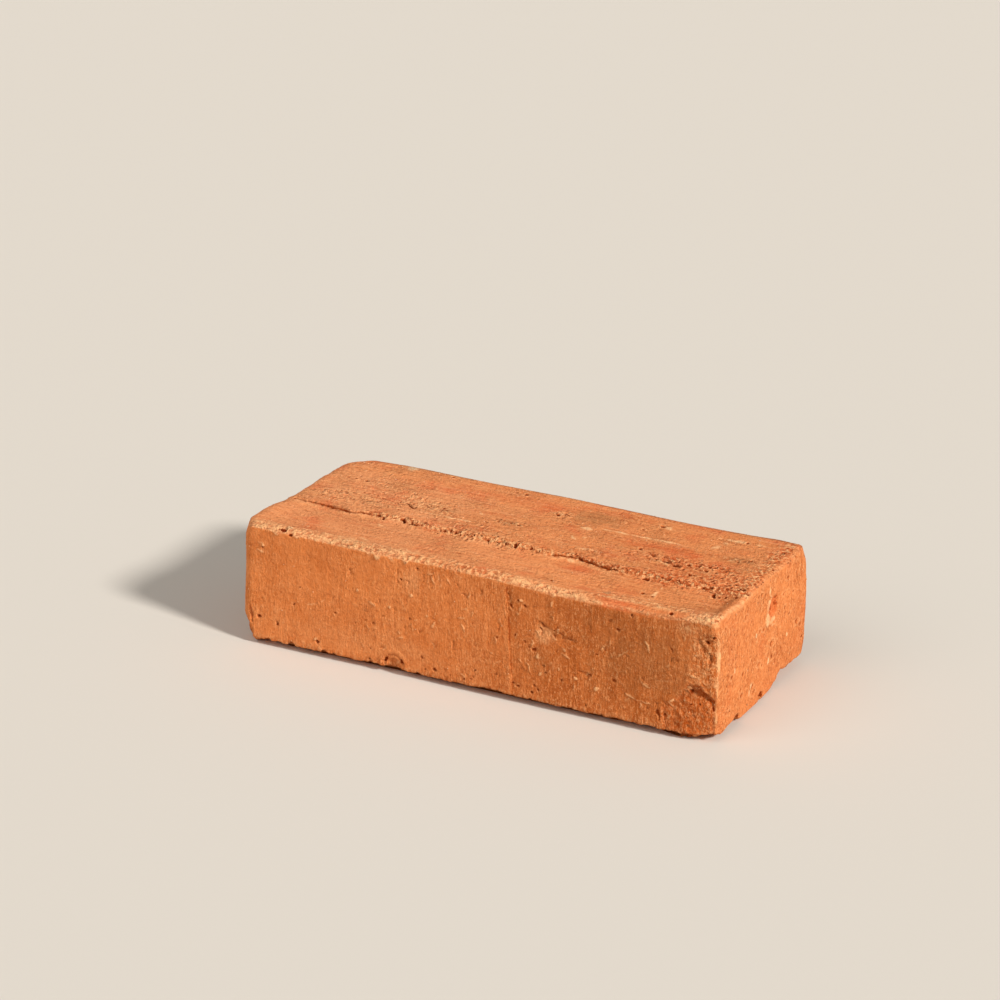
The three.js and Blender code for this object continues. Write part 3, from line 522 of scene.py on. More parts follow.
# The sides as the mould left them: fine upward drag lines, dimples and slack places. The right
# half of the front is smeared and fired browner.
LINE_HEIGHT, DIMPLE_HEIGHT, SLACK_HEIGHT, SMEAR_HEIGHT = 0.07, 0.06, 0.2, 0.12
upright_side = 1 - np.abs(clay.facing[:, 2]) ** 2
lines = uneven(clay.points, (1.3, 1.3, 20), 61) + 0.8 * uneven(clay.points, (0.9, 0.9, 7), 62)
slack = uneven(clay.points, (14, 14, 18), 63)
dimple = uneven(clay.points, (3.2, 3.2, 4.5), 60)
clay.lift(upright_side * (LINE_HEIGHT * lines + DIMPLE_HEIGHT * dimple + SLACK_HEIGHT * slack))
smear = uneven(clay.points, (5, 40, 26), 48) + 0.6 * uneven(clay.points, (2.2, 40, 14), 47)
clay.tone("burnt", front * soft_step(80, 180, u) * np.clip(1.05 + 0.3 * slack + 0.4 * smear, 0, 1.6))
clay.lift(front * soft_step(70, 130, u) * SMEAR_HEIGHT * smear)

# The kiss line down the front, where two faces of the clot met: it leans to the right as it
# goes down, and the clay past it lies a little lower.
KISS_TOP_U, KISS_TOP_Z, KISS_LEAN, KISS_STEP = 131.2, 50.5, 0.098, 0.35
past = 0.6 * u + 0.4 * clay.placed[:, 0] - (KISS_TOP_U + KISS_LEAN * (KISS_TOP_Z - z))
seam = front * soft_step(55, 51, z) * soft_step(4, 8, z)
step_down = KISS_STEP * soft_step(-0.3, 0.5, past) * soft_step(7, 0.5, past)
clay.lift(seam * (0.05 * hump(-1.4, 1.6, past) - step_down))
rubbed_seam = soft_step(-0.8, 0.4, uneven(clay.points, (9, 9, 5), 65))
open_seam = soft_step(-0.7, 0.5, uneven(clay.points, (9, 9, 6), 64))
clay.tone("pale", 0.1 * seam * hump(-1.2, 1.3, past) * rubbed_seam)
clay.tone("hole", 0.75 * seam * hump(0.35, 0.75, past) * open_seam)
clay.tone("burnt", 0.8 * seam * soft_step(-0.2, 0.6, past) * soft_step(16, 2, past))
clay.groove("front", [(132.9, 49), (133.3, 46), (134.3, 42.8)], 1.1, 0.8, seed=14, hole=0.85)

# The slanting tear in the front, with the clay drawn in below it.
slanting_tear = [(153, 37), (156.4, 36.4), (159, 34.9), (162, 34.3), (166, 34)]
clay.groove("front", [(147.2, 39.3), (149.5, 38.2), (153, 37)], 1.3, 1.0, seed=15, hole=0.65)
clay.groove("front", slanting_tear, 1.2, 0.8, seed=16, hole=0.45)
drawn_below = hump(37.6 - 0.28 * (u - 150), 3.4, z + 1.6)
clay.lift(-0.4 * front * soft_step(145, 148, u) * soft_step(162, 157, u) * drawn_below)

# Furrows, ridges, pits and grains in the front face.
for turns, wide, deep, tones in [
    ([(30, 25.2), (33, 24.1), (38, 24.6), (41, 26), (44.5, 29)], 1.0, 0.15, {"pale": 0.7}),
    ([(99, 51), (101, 46.5)], 1.0, 0.2, {"pale": 0.5}),
    ([(80, 50.5), (80, 42.5)], 1.0, 0.5, {"hole": 0.45}),
    ([(196.4, 41), (196.9, 39), (198.4, 36.7)], 1.2, -0.3, {"pale": 1.0}),
    ([(207.5, 44.5), (207.9, 40), (207.7, 34.8)], 1.1, 0.6, {"hole": 0.6}),
    ([(193.4, 24.2), (195.5, 22.3), (199, 21)], 1.2, -0.25, {"pale": 0.7}),
    ([(194.6, 24.8), (197.5, 22.6)], 1.3, 0.4, {"hole": 0.5}),
    ([(186.8, 17), (188.6, 15.6), (192, 14.2), (199, 13.6)], 1.2, -0.3, {"pale": 0.75}),
    ([(188, 17), (191, 15.2)], 1.0, 0.3, {"hole": 0.4}),
    ([(145.9, 35.6), (147.4, 34.4), (148.8, 32.3)], 1.2, -0.3, {"pale": 0.95}),
    ([(152, 35.6), (153.4, 33.9), (155.6, 32.8)], 1.1, -0.3, {"pale": 0.95}),
    ([(147.6, 36.6), (149, 34.5), (150.2, 33)], 1.0, 0.5, {"hole": 0.6}),
    ([(153.8, 35.4), (154.6, 33.8)], 1.0, 0.4, {"hole": 0.6}),
    ([(201.2, 15), (202.3, 12.6), (203.4, 9.7), (203.6, 6)], 1.5, 0.9, {"hole": 0.7}),
    ([(205.2, 10.2), (205.9, 8.2)], 1.3, 0.7, {"hole": 0.7}),
    ([(208.2, 26.6), (206, 25.2), (200, 24.9)], 1, 0.25, {"pale": 0.3}),
    ([(209, 36.6), (210.6, 35.4), (209.2, 34)], 1.0, 0.4, {"hole": 0.5}),
    ([(165.5, 21.5), (169, 20.8), (171, 18.5)], 1.8, 0.6, {"hole": 0.35}),
    ([(215.4, 30.6), (217.5, 29.8), (221, 29.2), (223.4, 28.2)], 1.1, -0.3, {"pale": 0.8}),
    ([(215.2, 24.8), (216.8, 23.8)], 1.3, -0.4, {"pale": 0.9}),
    ([(92, 50), (93.2, 46)], 1.2, 0.5, {"hole": 0.4}),
    ([(96, 49.5), (98, 46.8), (97.4, 44)], 1.3, -0.35, {"pale": 0.8}),
    ([(104, 50.5), (105.5, 47.5)], 1.1, -0.3, {"pale": 0.7}),
    ([(108.5, 49), (110, 45.6)], 1.2, 0.5, {"hole": 0.4}),
    ([(113, 51.5), (114.6, 48.8)], 1.0, -0.3, {"pale": 0.6}),
    ([(119, 49), (120, 45)], 1.0, 0.4, {"hole": 0.35}),
    ([(96.5, 20), (98.5, 17)], 1.0, 0.25, {"pale": 0.5}),
    ([(11.2, 47.6), (12.6, 48.2), (13.8, 47.2)], 1.1, -0.2, {"pale": 0.9}),
    ([(10.6, 45), (12, 44.2), (13.6, 44.4)], 1.2, -0.2, {"pale": 0.9}),
    ([(7, 16.8), (6.6, 12)], 1.6, 0.8, {"hole": 0.35}),
]:
    clay.groove("front", turns, wide, deep, broken=0.3, seed=int(turns[0][0]), **tones)
for a, b, size, deep, long, lean in [
    (12.9, 45.8, 1.4, 0.6, 1.3, 0.6), (11, 13.6, 2.2, 1.6, 1.4, 0.5), (20.4, 11.5, 1.4, 1.0, 1, 0),
    (49.5, 23, 1.6, 0.7, 1.6, 0), (40.8, 7.5, 2.2, 1.5, 1.0, 0), (66.5, 5, 1.6, 1.2, 1.4, 0.3),
    (98.2, 7, 2.0, 1.4, 1.2, 0), (81.6, 45.4, 1.8, 1.2, 1, 0), (89.3, 51.4, 1.6, 1.1, 1, 0),
    (140.2, 45.5, 1.9, 1.0, 1.3, -0.3), (137.4, 46.8, 1.7, 0.8, 1, 0), (151.5, 17.4, 1.3, 1.0, 1, 0),
    (158, 15.1, 1.8, 1.4, 1, 0), (145.2, 6.6, 1.8, 1.3, 1, 0), (138.6, 8.2, 1.7, 1.0, 1.3, 0),
    (147.8, 8.8, 1.5, 0.9, 1.5, 1.3), (183.4, 43.7, 1.9, 1.3, 1, 0), (189.4, 51.5, 1.8, 1.1, 1, 0),
    (182.6, 20.6, 2.8, 0.7, 1.4, -0.2), (171.2, 20, 2.0, 0.9, 1.6, -1.1),
    (145.4, 26.3, 2.2, 0.8, 1.3, 0.8), (143.2, 26.8, 1.6, 0.6, 1.5, -0.9),
    (136.1, 31.2, 1.5, 0.5, 1.3, 0), (140.7, 29.3, 1.5, 0.5, 1.5, -0.8), (118, 11, 1.3, 0.8, 1, 0),
    (28.5, 23, 1.2, 0.6, 1.6, 1.2), (113, 5.6, 1.6, 0.9, 1.2, 0), (59, 20.4, 1.1, 0.6, 1, 0),
    (66.8, 10, 1.2, 0.7, 1, 0), (127.6, 28.6, 1.3, 0.6, 1.6, 1.3), (94, 6, 1.3, 0.8, 1, 0),
    (222.2, 45.7, 1.5, 1.2, 1, 0), (31, 31, 1.6, 0.5, 1.5, 0), (174.5, 30.6, 1.3, 0.5, 1.6, 0),
    (226, 48, 1.6, 1.0, 1, 0),
]:
    clay.pit("front", a, b, size * 0.75, deep * 0.8, long, lean, lip=0.05, hole=0.6)
for a, b, size in [
    (138.7, 47.4, 1.6), (147.4, 24, 2.0), (87, 39.3, 2.2), (76.3, 31.5, 1.6), (94.4, 31.2, 1.3),
    (157.2, 20, 1.3), (174.5, 15, 2.4), (148.6, 16.4, 2.0), (39.6, 8.6, 1.6), (60.4, 36.5, 1.6),
    (165, 17.5, 1.4), (209, 17, 1.6), (13.2, 46.8, 1.2),
]:
    clay.pit("front", a, b, size * 0.8, -0.35, 1.3, 0.9, pale=0.9)


def scuffs(side, count, start, busiest, end, seed):
    """Small scuffs, mostly upright: some stand proud and pale, the others are sunk."""
    rng = np.random.default_rng(seed)
    for number in range(count):
        a, b = rng.triangular(start, busiest, end), rng.uniform(6, 51)
        lean, half = rng.normal(0.2, 0.7), rng.uniform(0.8, 2.2)
        across, up = half * math.sin(lean), half * math.cos(lean)
        proud = rng.random() < 0.6
        wide, deep, tones = rng.uniform(0.8, 1.2), 0.45, {"hole": 0.35}
        if proud:
            deep, tones = -0.3, {"pale": 0.6}
        turns = [(a + across, b + up), (a + 0.5, b), (a - across, b - up)]
        clay.groove(side, turns, wide, deep, seed=number, **tones)


scuffs("front", 84, 30, 170, 225, seed=11)
for a, b, long, wide, seed, tones in [
    (150, 34, 12, 8, 91, {"pale": 0.35, "broken": 0.5}),
    (148, 22, 14, 14, 92, {"soot": 0.25, "broken": 0.3}),
    (86, 45, 12, 14, 93, {"broken": 0.3, "pale": 0.2}),
    (196, 34, 60, 54, 94, {"soot": 0.33}), (60, 12, 130, 18, 95, {"pale": 0.12}),
]:
    clay.patch("front", a, b, long, wide, seed, **tones)

# Small chips along the lower front arris. The clay under it is crumbled away, so that it stands
# clear of the floor, and higher up past the middle and where the half-round dent will be.
UNDERCUT, DENT_U, DENT_Z = 3.4, 78.4, 4.8
for at, wide, deep in [
    (15, 4.5, 0.9), (27, 4, 1.3), (44, 5, 1.0), (48.5, 2.5, 1.2), (66.5, 3, 1.2), (75, 2.5, 0.8),
    (125, 12, 0.7), (144, 3, 0.9), (177, 2.4, 0.8), (184, 2.6, 0.8),
]:
    clay.scoop((at, -0.3, 2.2), (wide / 2, 2.6, deep + 0.9), rough=0.3, lump=1.2, hole=0.15)
under = 2.9 + 0.5 * uneven(clay.points, (3.0, 60, 60), 70) + 0.3 * uneven(clay.points, (1.2, 60, 60), 73)
under += 1.0 * hump(124, 12, u) + 1.2 * hump(DENT_U, 6, u)
front_foot = soft_step(-40, -46, clay.points[:, 1]) * soft_step(under + 0.3, under - 0.5, z) * (z > 0)
clay.points[:, 1] += UNDERCUT * front_foot * soft_step(6, 14, u) * soft_step(222, 214, u)
clay.tone("broken", soft_step(7.5, 3, z) * front * 0.7)

# A half-round dent standing on the lower front arris, with a raised rim, a furrow inside it and
# a pit at either foot.
ring = np.hypot(clay.placed[:, 0] - DENT_U, clay.placed[:, 2] - DENT_Z)
clay.lift(front * (0.3 * hump(6.2, 1.3, ring) - 0.35 * hump(4.7, 0.9, ring) * soft_step(3, 5, z)))
clay.scoop((DENT_U, -2.9, 4.0), (5.3, 4.6, 5.6), rough=0.08, lump=1.6, raw=0.25, soot=0.25)
clay.tone("hole", front * 0.45 * hump(4.6, 1.0, ring) * soft_step(4, 6, z))
clay.pit("front", 82.2, 7.2, 1.8, 0.9, 1.3, 1.2)
clay.pit("front", 74.3, 6.6, 1.4, 0.8, 1.8, 1.2)

# Chips in the left half of the front arris, with crumbs in them, and in the two left corners.
for centre, radii, lump in [
    ((22.6, 1.2, 56.8), (2.3, 1.9, 1.5), 1.4), ((20.2, 1.2, 56.6), (0.9, 1.3, 0.9), 1),
    ((26.6, 0.2, 55.0), (1.0, 1.3, 0.8), 1), ((26.4, 4.0, 57.0), (1.0, 1.8, 0.8), 1),
]:
    clay.scoop(centre, radii, rough=0.2, lump=lump, hole=1.0)
clay.pit("top", 24.6, 3.4, 2.8, -1.0, 1.2, 0.3, pale=1.0, lime=0.4)
clay.pit("top", 24.6, 3.8, 1.2, 0.5, 1.8, 2.0, raw=1.0, hole=0.4)
from_corner = np.linalg.norm(clay.points + HALF - (0.5, 1.5, 57), axis=1)
clay.lift(-2.2 * soft_step(8, 1.5, from_corner))
clay.scoop((-1.1, 0.5, 4.9), (8.4, 8, 11.5), turned=-0.4, rough=0.07, lump=3, raw=0.2, broken=0.6)
clay.groove("front", [(6.2, 18), (7.2, 15), (7.2, 12), (6.6, 10.5)], 1.7, 0.9, seed=31, hole=0.5, raw=0.7)

# The broken lower right corner: the skin has spalled off under a ledge that runs down towards
# the arris, and left raw, crumbling clay in slanting lumps, with painted shade under the ledge.
LUMP_HEIGHT = 0.46
rag = uneven(clay.points, (4.2, 40, 4.2), 65) + 0.6 * uneven(clay.points, (1.6, 40, 1.6), 66)
ledge = 15.5 + 9.5 * soft_step(206, 217, u) - 5.5 * soft_step(220, 228, u)
spall = front * soft_step(1.0, -0.8, z - ledge - 1.2 * rag) * soft_step(203.5, 206.5, u + 1.5 * rag)
slanting = np.stack([0.8 * u - 0.6 * z, clay.points[:, 1], 0.6 * u + 0.8 * z], -1)
lumps = 0.8 * uneven(slanting, (5.0, 40, 2.2), 67) + 0.8 * uneven(slanting, (2.4, 40, 1.2), 68)
lumps += 0.45 * uneven(clay.points, 0.8, 69)
below = ledge - z
depth = 0.5 + 1.2 * soft_step(208, 218, u) * hump(2.2, 3.0, below) + 0.4 * soft_step(212, 224, u)
clay.lift(-spall * (depth - LUMP_HEIGHT * lumps))
clay.tone("raw", spall * 0.2)
clay.tone("broken", 0.4 * spall)
# Painted shade: a band under the ledge and two soft patches by the foot are laid on as browner, darker
# clay where the shadow falls, over the broken clay's own browner colour.
painted_shade = 1.2 * hump(2.4, 3.2, below) * soft_step(212, 217, u)
painted_shade += 0.6 * hump(9.5, 4, z) * hump(214, 4, u)
painted_shade += 0.6 * hump(9, 4, z) * hump(220, 3.5, u)
clay.tone("burnt", spall * np.clip(1.4 + painted_shade * (1.3 + 0.4 * rag), 0, 2.2))
clay.tone("crumbly", 0.15 * spall)
clay.tone("hole", spall * np.clip(0.4 * painted_shade + 0.5 * soft_step(-0.7, -1.3, lumps), 0, 0.5))
clay.tone("pale", spall * 0.15 * soft_step(0.6, 1.1, lumps) * (1 - 0.8 * np.clip(painted_shade, 0, 1)))
for a, b, size in [
    (217.1, 17, 1.3), (220.4, 17.2, 1.2), (226.8, 15.4, 2.0), (216.6, 22.6, 1.7), (228, 11.6, 1.8),
]:
    clay.pit("front", a, b, size * 0.8, 0.6, 1.5, 1.2, hole=0.9)
clay.groove("front", [(225.2, 24.6), (225.8, 22.4), (227, 20.4)], 0.9, -0.4, seed=35, pale=1.0)

# Hollows in the upright arris above it, painted darker and browner as the shade in them, and
# rough clay between them.
for turns, wide, deep, seed in [
    ([(219.4, 46.8), (220.6, 43.9), (222.2, 41.2)], 3.4, 1.1, 32),
    ([(223.9, 41), (224.2, 37.9), (224, 33.2)], 2.6, 1.0, 33),
]:
    clay.groove("front", turns, wide, deep, seed=seed, burnt=1.5, soot=0.4, hole=0.3)
clay.groove("front", [(217.9, 46.4), (218, 43), (218.6, 40.6)], 1.2, -0.35, seed=34, pale=0.9)
clay.pit("front", 222.6, 45.6, 1.4, 0.7)
clay.pit("front", 226.2, 47.8, 1.5, 0.8, 1.3)
clay.patch("front", 216, 51, 16, 7, seed=97, broken=0.8, pale=0.2)

# The gouge in the header, whose clay was pushed up into a pale, limy rim on its front side.
clay.scoop((228.6, 63, 40), (2.4, 6.2, 6.2), turned=0.2, axis="X", rough=0.09, raw=0.6)
for turns, wide, deep, seed in [
    ([(59.6, 51), (59.4, 48.5), (60, 46.5), (61.4, 45)], 2.0, -0.2, 24),
    ([(61.6, 44.6), (58.6, 42.2), (57, 39), (58.2, 35.8), (61.4, 33.8), (65.4, 34.4)], 6.0, -0.35, 25),
]:
    clay.groove("header", turns, wide, deep, seed=seed, pale=0.9, lime=0.3)
clay.pit("header", 65.4, 39.6, 6.4, 0.6, 1.4, 1.45, raw=0.6)
for a, b, size in [(66.6, 43.6, 1.7), (67.4, 40.6, 1.5), (64.4, 38.4, 1.4)]:
    clay.pit("header", a, b, size, 0.4, 1.5, 1.4, hole=0.6, raw=1.0)
clay.groove("header", [(62.5, 31.6), (65.3, 31.5), (68, 32)], 1.3, -0.2, seed=27, pale=1.0, lime=0.4)

# Pits and limy grains in the header, and the chips along its lower arris. The round pits are
# made a little longer than high.
for a, b, size, deep, long, lean in [
    (32.3, 46.4, 2.0, 1.2, 1.2, 1.2), (50.5, 50, 1.8, 1.0, 1.1, 0), (50.6, 52.6, 1.3, 0.7, 1.2, 0),
    (50.3, 44.7, 1.3, 0.7, 1.5, 1.5), (79, 48.4, 1.6, 1.1, 1.2, 1.4), (75.1, 42.6, 1.5, 1.0, 1.3, 1.4),
    (76.6, 35.4, 1.4, 0.8, 1.8, 1.5), (90.4, 23.9, 2.0, 1.2, 1.1, 0), (94.3, 21.6, 1.6, 1.0, 1.3, -0.6),
    (49.3, 34.1, 1.6, 0.9, 1.2, 0), (54.1, 33.1, 1.4, 0.8, 1.2, 0), (46.3, 32.4, 1.9, 1.0, 1.5, 1.3),
    (9, 49.4, 1.5, 0.9, 2.2, 1.45), (81.8, 30.8, 1.3, 0.7, 1.3, 0), (70.3, 35.3, 1.1, 0.6, 1.2, 0),
    (29.2, 45.6, 1.1, 0.5, 1.4, 1.5), (21, 49.8, 1.2, 0.6, 1.5, 1.5), (15.4, 11.8, 1.6, 1.0, 1.2, 0),
    (13.9, 10.2, 1.7, 1.1, 1.2, 0), (17.3, 9.2, 1.7, 1.0, 1.3, -0.6), (29.7, 12.1, 1.8, 1.1, 1.2, 1.5),
    (28.5, 15.2, 1.3, 0.7, 1.3, 1.5), (27.3, 21.3, 1.3, 0.6, 1.2, 0), (18.3, 25.1, 1.5, 0.7, 1.2, 0),
    (31.1, 21.6, 1.6, 0.8, 1.2, 1.0), (49.1, 18.9, 2.0, 1.2, 1.2, 1.3), (53.3, 17.3, 1.5, 0.9, 1.4, 1.3),
    (64.1, 17.2, 1.7, 0.9, 1.8, 1.2), (64.1, 23.2, 2.2, 1.3, 1.2, 0.9), (34.4, 36.6, 1.4, 0.7, 1.4, 1.5),
    (17.7, 38.1, 1.2, 0.6, 1.3, 1.5), (42.2, 11.2, 1.7, 1.2, 1.5, 1.2), (43.5, 8.2, 1.8, 1.2, 1.3, -0.3),
    (13.7, 20.2, 1.1, 0.5, 1.3, 0), (13.4, 23, 1.0, 0.4, 1.3, 0), (83, 12.6, 1.2, 0.6, 1.4, 0),
    (88, 54, 1.8, 1.4, 1.2, -0.5), (80.8, 53.2, 1.6, 1.2, 1.7, 1.4), (74, 56.5, 1.5, 1.1, 1.3, -0.3),
    (36, 56, 2.0, 1.3, 1.2, -0.6), (97, 34, 1.6, 0.9, 1.4, 1.4), (97, 14.5, 1.4, 0.8, 1.2, 0),
    (68, 28, 1.1, 0.5, 1.4, 1.5), (39, 26, 1.1, 0.5, 1.4, 1.5), (22, 32, 1.1, 0.5, 1.6, 1.5),
    (57, 24, 1.1, 0.5, 1.5, 1.5), (85, 40, 1.2, 0.6, 1.4, 1.5), (40, 42, 1.0, 0.5, 1.6, 1.5),
]:
    if long <= 1.3:
        long, lean = 1.5, 0.0
    clay.pit("header", a, b, size * 1.15, deep * 0.8, min(long, 1.5), lean, lip=0.1, hole=0.62)
for a, b, size in [
    (60.3, 16.2, 1.7), (40.2, 12.7, 1.6), (38.6, 10, 1.5), (20.6, 27.2, 1.3), (80, 21.5, 1.5),
    (44.6, 33.6, 1.5),
]:
    clay.pit("header", a, b, size, -0.3, 1.8, 1.35, pale=1.0, lime=0.5)
clay.tone("raw", 0.3 * header * soft_step(0.1, 0.9, uneven(clay.points, (9, 9, 14), 74)))
clay.scoop((228.5, 25.6, 3.2), (2.8, 3.0, 2.2), rough=0.2, hole=0.9)
clay.scoop((228.5, 52, 3.2), (2.8, 2.8, 2.4), rough=0.2, hole=0.9)
clay.scoop((228.5, 75.5, 1.2), (4.0, 5.5, 5.6), rough=0.12, raw=0.4)

# The header's rear upright arris is worn round towards the top. The front falls back towards
# the one in front of it, and the bed is worn away upwards under the ends of its foot.
REAR_WEAR, FALL_BACK = 1.7, 2.6
FRONT_FOOT_WEAR, MIDDLE_FOOT_WEAR, REAR_FOOT_WEAR = 4.4, 3.8, 5.6
worn_corner = soft_step(18, 0, np.hypot(from_header, WIDTH - v)) * soft_step(46, 57, z)
clay.points[:, :2] -= REAR_WEAR * (worn_corner * (0.92 + 0.08 * uneven(clay.points, 5, 77)))[:, None]
clay.points[:, 1] += FALL_BACK * soft_step(214, 228, u) * soft_step(13, 0, v) * soft_step(51, 45, z)
u, v, z = (clay.points + HALF).T  # as they are after all that is broken and worn away
from_header = LENGTH - u
near_end = soft_step(14, 4, from_header)
worn_foot = FRONT_FOOT_WEAR * soft_step(17, 2, np.hypot(from_header, v))
worn_foot += MIDDLE_FOOT_WEAR * soft_step(32, 26, v) * soft_step(8, 19, v) * near_end
worn_foot = np.maximum(worn_foot, REAR_FOOT_WEAR * soft_step(66, 78, v) * soft_step(15, 4, from_header))
worn_foot += 0.4 * uneven(clay.points, (3, 3, 30), 76) * soft_step(0, 2, worn_foot)
clay.points[:, 2] = np.maximum(clay.points[:, 2], worn_foot)

# Knocks on the left end and the back, small and worn, and the pits, scuffs and stains of the
# sides that lie away from the camera.
clay.scoop((34, 104.5, 57), (4.0, 3.5, 2.8), rough=0.2, soot=0.3, lime=0.4)
clay.scoop((92, 105.2, 55.6), (5.5, 2.6, 2.4), rough=0.25, raw=0.4)
clay.scoop((188, 104.6, 1.0), (7.5, 2.8, 3.6), rough=0.2, raw=0.5)
clay.scoop((150, 105.4, 34), (3.0, 2.6, 4.2), turned=0.5, rough=0.15, raw=0.4)
clay.scoop((-1.0, 66, 56.4), (2.6, 5.0, 2.4), rough=0.25, raw=0.4)
clay.scoop((-0.8, 30, 0.8), (2.6, 6.0, 3.4), rough=0.2, raw=0.4)
rng = np.random.default_rng(7)
for side, long in (("back", LENGTH), ("left", WIDTH)):
    for _ in range(round(long * 0.22)):
        a, b = rng.uniform(6, long - 6), rng.uniform(5, 52)
        size = rng.uniform(0.7, 1.6)
        clay.pit(side, a, b, size, size * 0.5, rng.uniform(1, 1.7), rng.uniform(-1.6, 1.6), hole=0.6)
    scuffs(side, round(long * 0.3), 3, long / 2, long - 3, seed=12)
for side, a, b, long, wide, amount in [
    ("back", 60, 30, 80, 40, 0.3), ("back", 170, 40, 60, 24, 0.25), ("left", 60, 30, 60, 40, 0.25),
    ("bed", 114, 52, 180, 80, 0.3),
]:
    clay.patch(side, a, b, long, wide, seed=int(a), soot=amount)


MILLIMETRE, PER_METRE = 0.001, 1000  # Blender measures in metres


class Value:
    """One socket of a node tree, so that sums on it read as plain arithmetic."""

    def __init__(self, bench, socket):
        self.bench, self.socket = bench, socket

    def __add__(self, other):
        return self.bench.sum("ADD", self, other)

    def __sub__(self, other):
        return self.bench.sum("SUBTRACT", self, other)

    def __rsub__(self, other):
        return self.bench.sum("SUBTRACT", other, self)

    def __mul__(self, other):
        return self.bench.sum("MULTIPLY", self, other)

    def __rtruediv__(self, other):
        return self.bench.sum("DIVIDE", other, self)

    def __lt__(self, other):
        return self.bench.sum("LESS_THAN", self, other)

    def __gt__(self, other):
        return self.bench.sum("GREATER_THAN", self, other)

    __radd__, __rmul__ = __add__, __mul__

    def at_least(self, other):
        return self.bench.sum("MAXIMUM", self, other)

    def step(self, start, end, low=0.0, high=1.0):
        """Low before start and high past end, with a soft step between them."""
        inputs = {"Value": self, "From Min": start, "From Max": end, "To Min": low, "To Max": high}
        return self.bench.add("ShaderNodeMapRange", {"interpolation_type": "SMOOTHSTEP"}, inputs)

    def output(self, name):
        """Another output of the same node."""
        return Value(self.bench, self.socket.node.outputs[name])


class Bench:
    """A node tree while it is being built."""

    def __init__(self, tree):
        self.tree = tree

    def add(self, kind, settings=None, inputs=None, output=0):
        """A node of this type: its settings are set first, then its sockets are set or linked."""
        node = self.tree.nodes.new(kind)
        for name, value in (settings or {}).items():
            setattr(node, name, value)
        for name, value in (inputs or {}).items():
            if isinstance(name, int):
                socket = node.inputs[name]
            else:
                socket = next(s for s in node.inputs if s.name == name and s.enabled)
            if isinstance(value, Value):
                self.tree.links.new(value.socket, socket)
            else:
                socket.default_value = value
        outputs = [s for s in node.outputs if s.enabled]
        if not outputs:
            return node
        return Value(self, outputs[output] if isinstance(output, int) else node.outputs[output])

    def sum(self, operation, a, b):
        return self.add("ShaderNodeMath", {"operation": operation}, {0: a, 1: b})

    def stretched(self, vector, factors):
        return self.add("ShaderNodeVectorMath", {"operation": "MULTIPLY"}, {0: vector, 1: factors})

    def moved(self, vector, by):
        return self.add("ShaderNodeVectorMath", {"operation": "ADD"}, {0: vector, 1: by})

    def noise(self, vector, lump, detail=2.0, roughness=0.5, warp=0.0):
        """Noise from 0 to 1 in lumps of this many millimetres; vector is in metres."""
        size = lump if isinstance(lump, tuple) else (lump,) * 3
        spread = self.stretched(vector, tuple(PER_METRE / s for s in size))
        shape = {"Scale": 1.0, "Detail": detail, "Roughness": roughness, "Distortion": warp}
        return self.add("ShaderNodeTexNoise", None, {"Vector": spread, **shape})

    def cells(self, vector, spacing):
        """The distance to the nearest of the random points that lie this many millimetres apart."""
        spread = self.stretched(vector, (PER_METRE / spacing,) * 3)
        return self.add("ShaderNodeTexVoronoi", None, {"Vector": spread, "Scale": 1.0})


def new_geometry_tree(name, sizes):
    """A Geometry Nodes tree with a mesh in and out and these named sizes."""
    tree = bpy.data.node_groups.new(name, "GeometryNodeTree")
    tree.interface.new_socket("Geometry", in_out="INPUT", socket_type="NodeSocketGeometry")
    for label, default in sizes.items():
        kind = "NodeSocketInt" if isinstance(default, int) else "NodeSocketFloat"
        tree.interface.new_socket(label, in_out="INPUT", socket_type=kind).default_value = default
    tree.interface.new_socket("Geometry", in_out="OUTPUT", socket_type="NodeSocketGeometry")
    bench = Bench(tree)
    given = tree.nodes.new("NodeGroupInput")
    return bench, {socket.name: Value(bench, socket) for socket in given.outputs if socket.name}


def put_on(piece, bench, sizes):
    """The tree as a modifier of the piece, with these sizes set by their identifiers."""
    modifier = piece.modifiers.new(bench.tree.name, "NODES")
    modifier.node_group = bench.tree
    for item in bench.tree.interface.items_tree:
        if item.item_type == "SOCKET" and item.in_out == "INPUT" and item.name in sizes:
            modifier[item.identifier] = sizes[item.name]


def attribute(bench, name):
    """A tone of the clay, as a geometry tree reads it."""
    return bench.add("GeometryNodeInputNamedAttribute", {"data_type": "FLOAT"}, {"Name": name})


def stored(bench, geometry, name, value):
    """The geometry with a tone of the clay set at each of its points."""
    settings = {"data_type": "FLOAT", "domain": "POINT"}
    inputs = {"Geometry": geometry, "Name": name, "Value": value}
    return bench.add("GeometryNodeStoreNamedAttribute", settings, inputs)


def close_tree(bench, geometry):
    """The end of a geometry tree: all of it made plain mesh, of fired clay."""
    plain = bench.add("GeometryNodeRealizeInstances", None, {0: geometry})
    painted = bench.add("GeometryNodeSetMaterial", None, {"Geometry": plain, "Material": clay_paint})
    bench.add("NodeGroupOutput", None, {0: painted})


clay_paint = bpy.data.materials.new("fired_clay")

# The skin's own relief, which follows a rule all over: sandy grain, coarser where the clay is
# broken, and open pores, which crowd where the strike has torn it. Sizes are in millimetres.
skin_sizes = {
    "Grain Height": 0.1, "Broken Height": 0.42, "Torn Height": 0.27,
    "Pore Spacing": 2.0, "Pore Depth": 1.0, "Pore Share": 0.02,
}
skin, given = new_geometry_tree("clay_skin", skin_sizes)
place = skin.add("GeometryNodeInputPosition")
porous, broken = attribute(skin, "porous"), attribute(skin, "broken")
grain = skin.noise(place, 1.4, detail=3, roughness=0.6) - 0.5
coarse = skin.noise(place, 1.9, detail=3, roughness=0.65) - 0.5
rough = broken * given["Broken Height"] * 2 + porous * given["Torn Height"] * 2
relief = grain * given["Grain Height"] * 2 + coarse * rough
spacing = PER_METRE / given["Pore Spacing"]
spread = skin.add("ShaderNodeVectorMath", {"operation": "SCALE"}, {"Vector": place, "Scale": spacing})
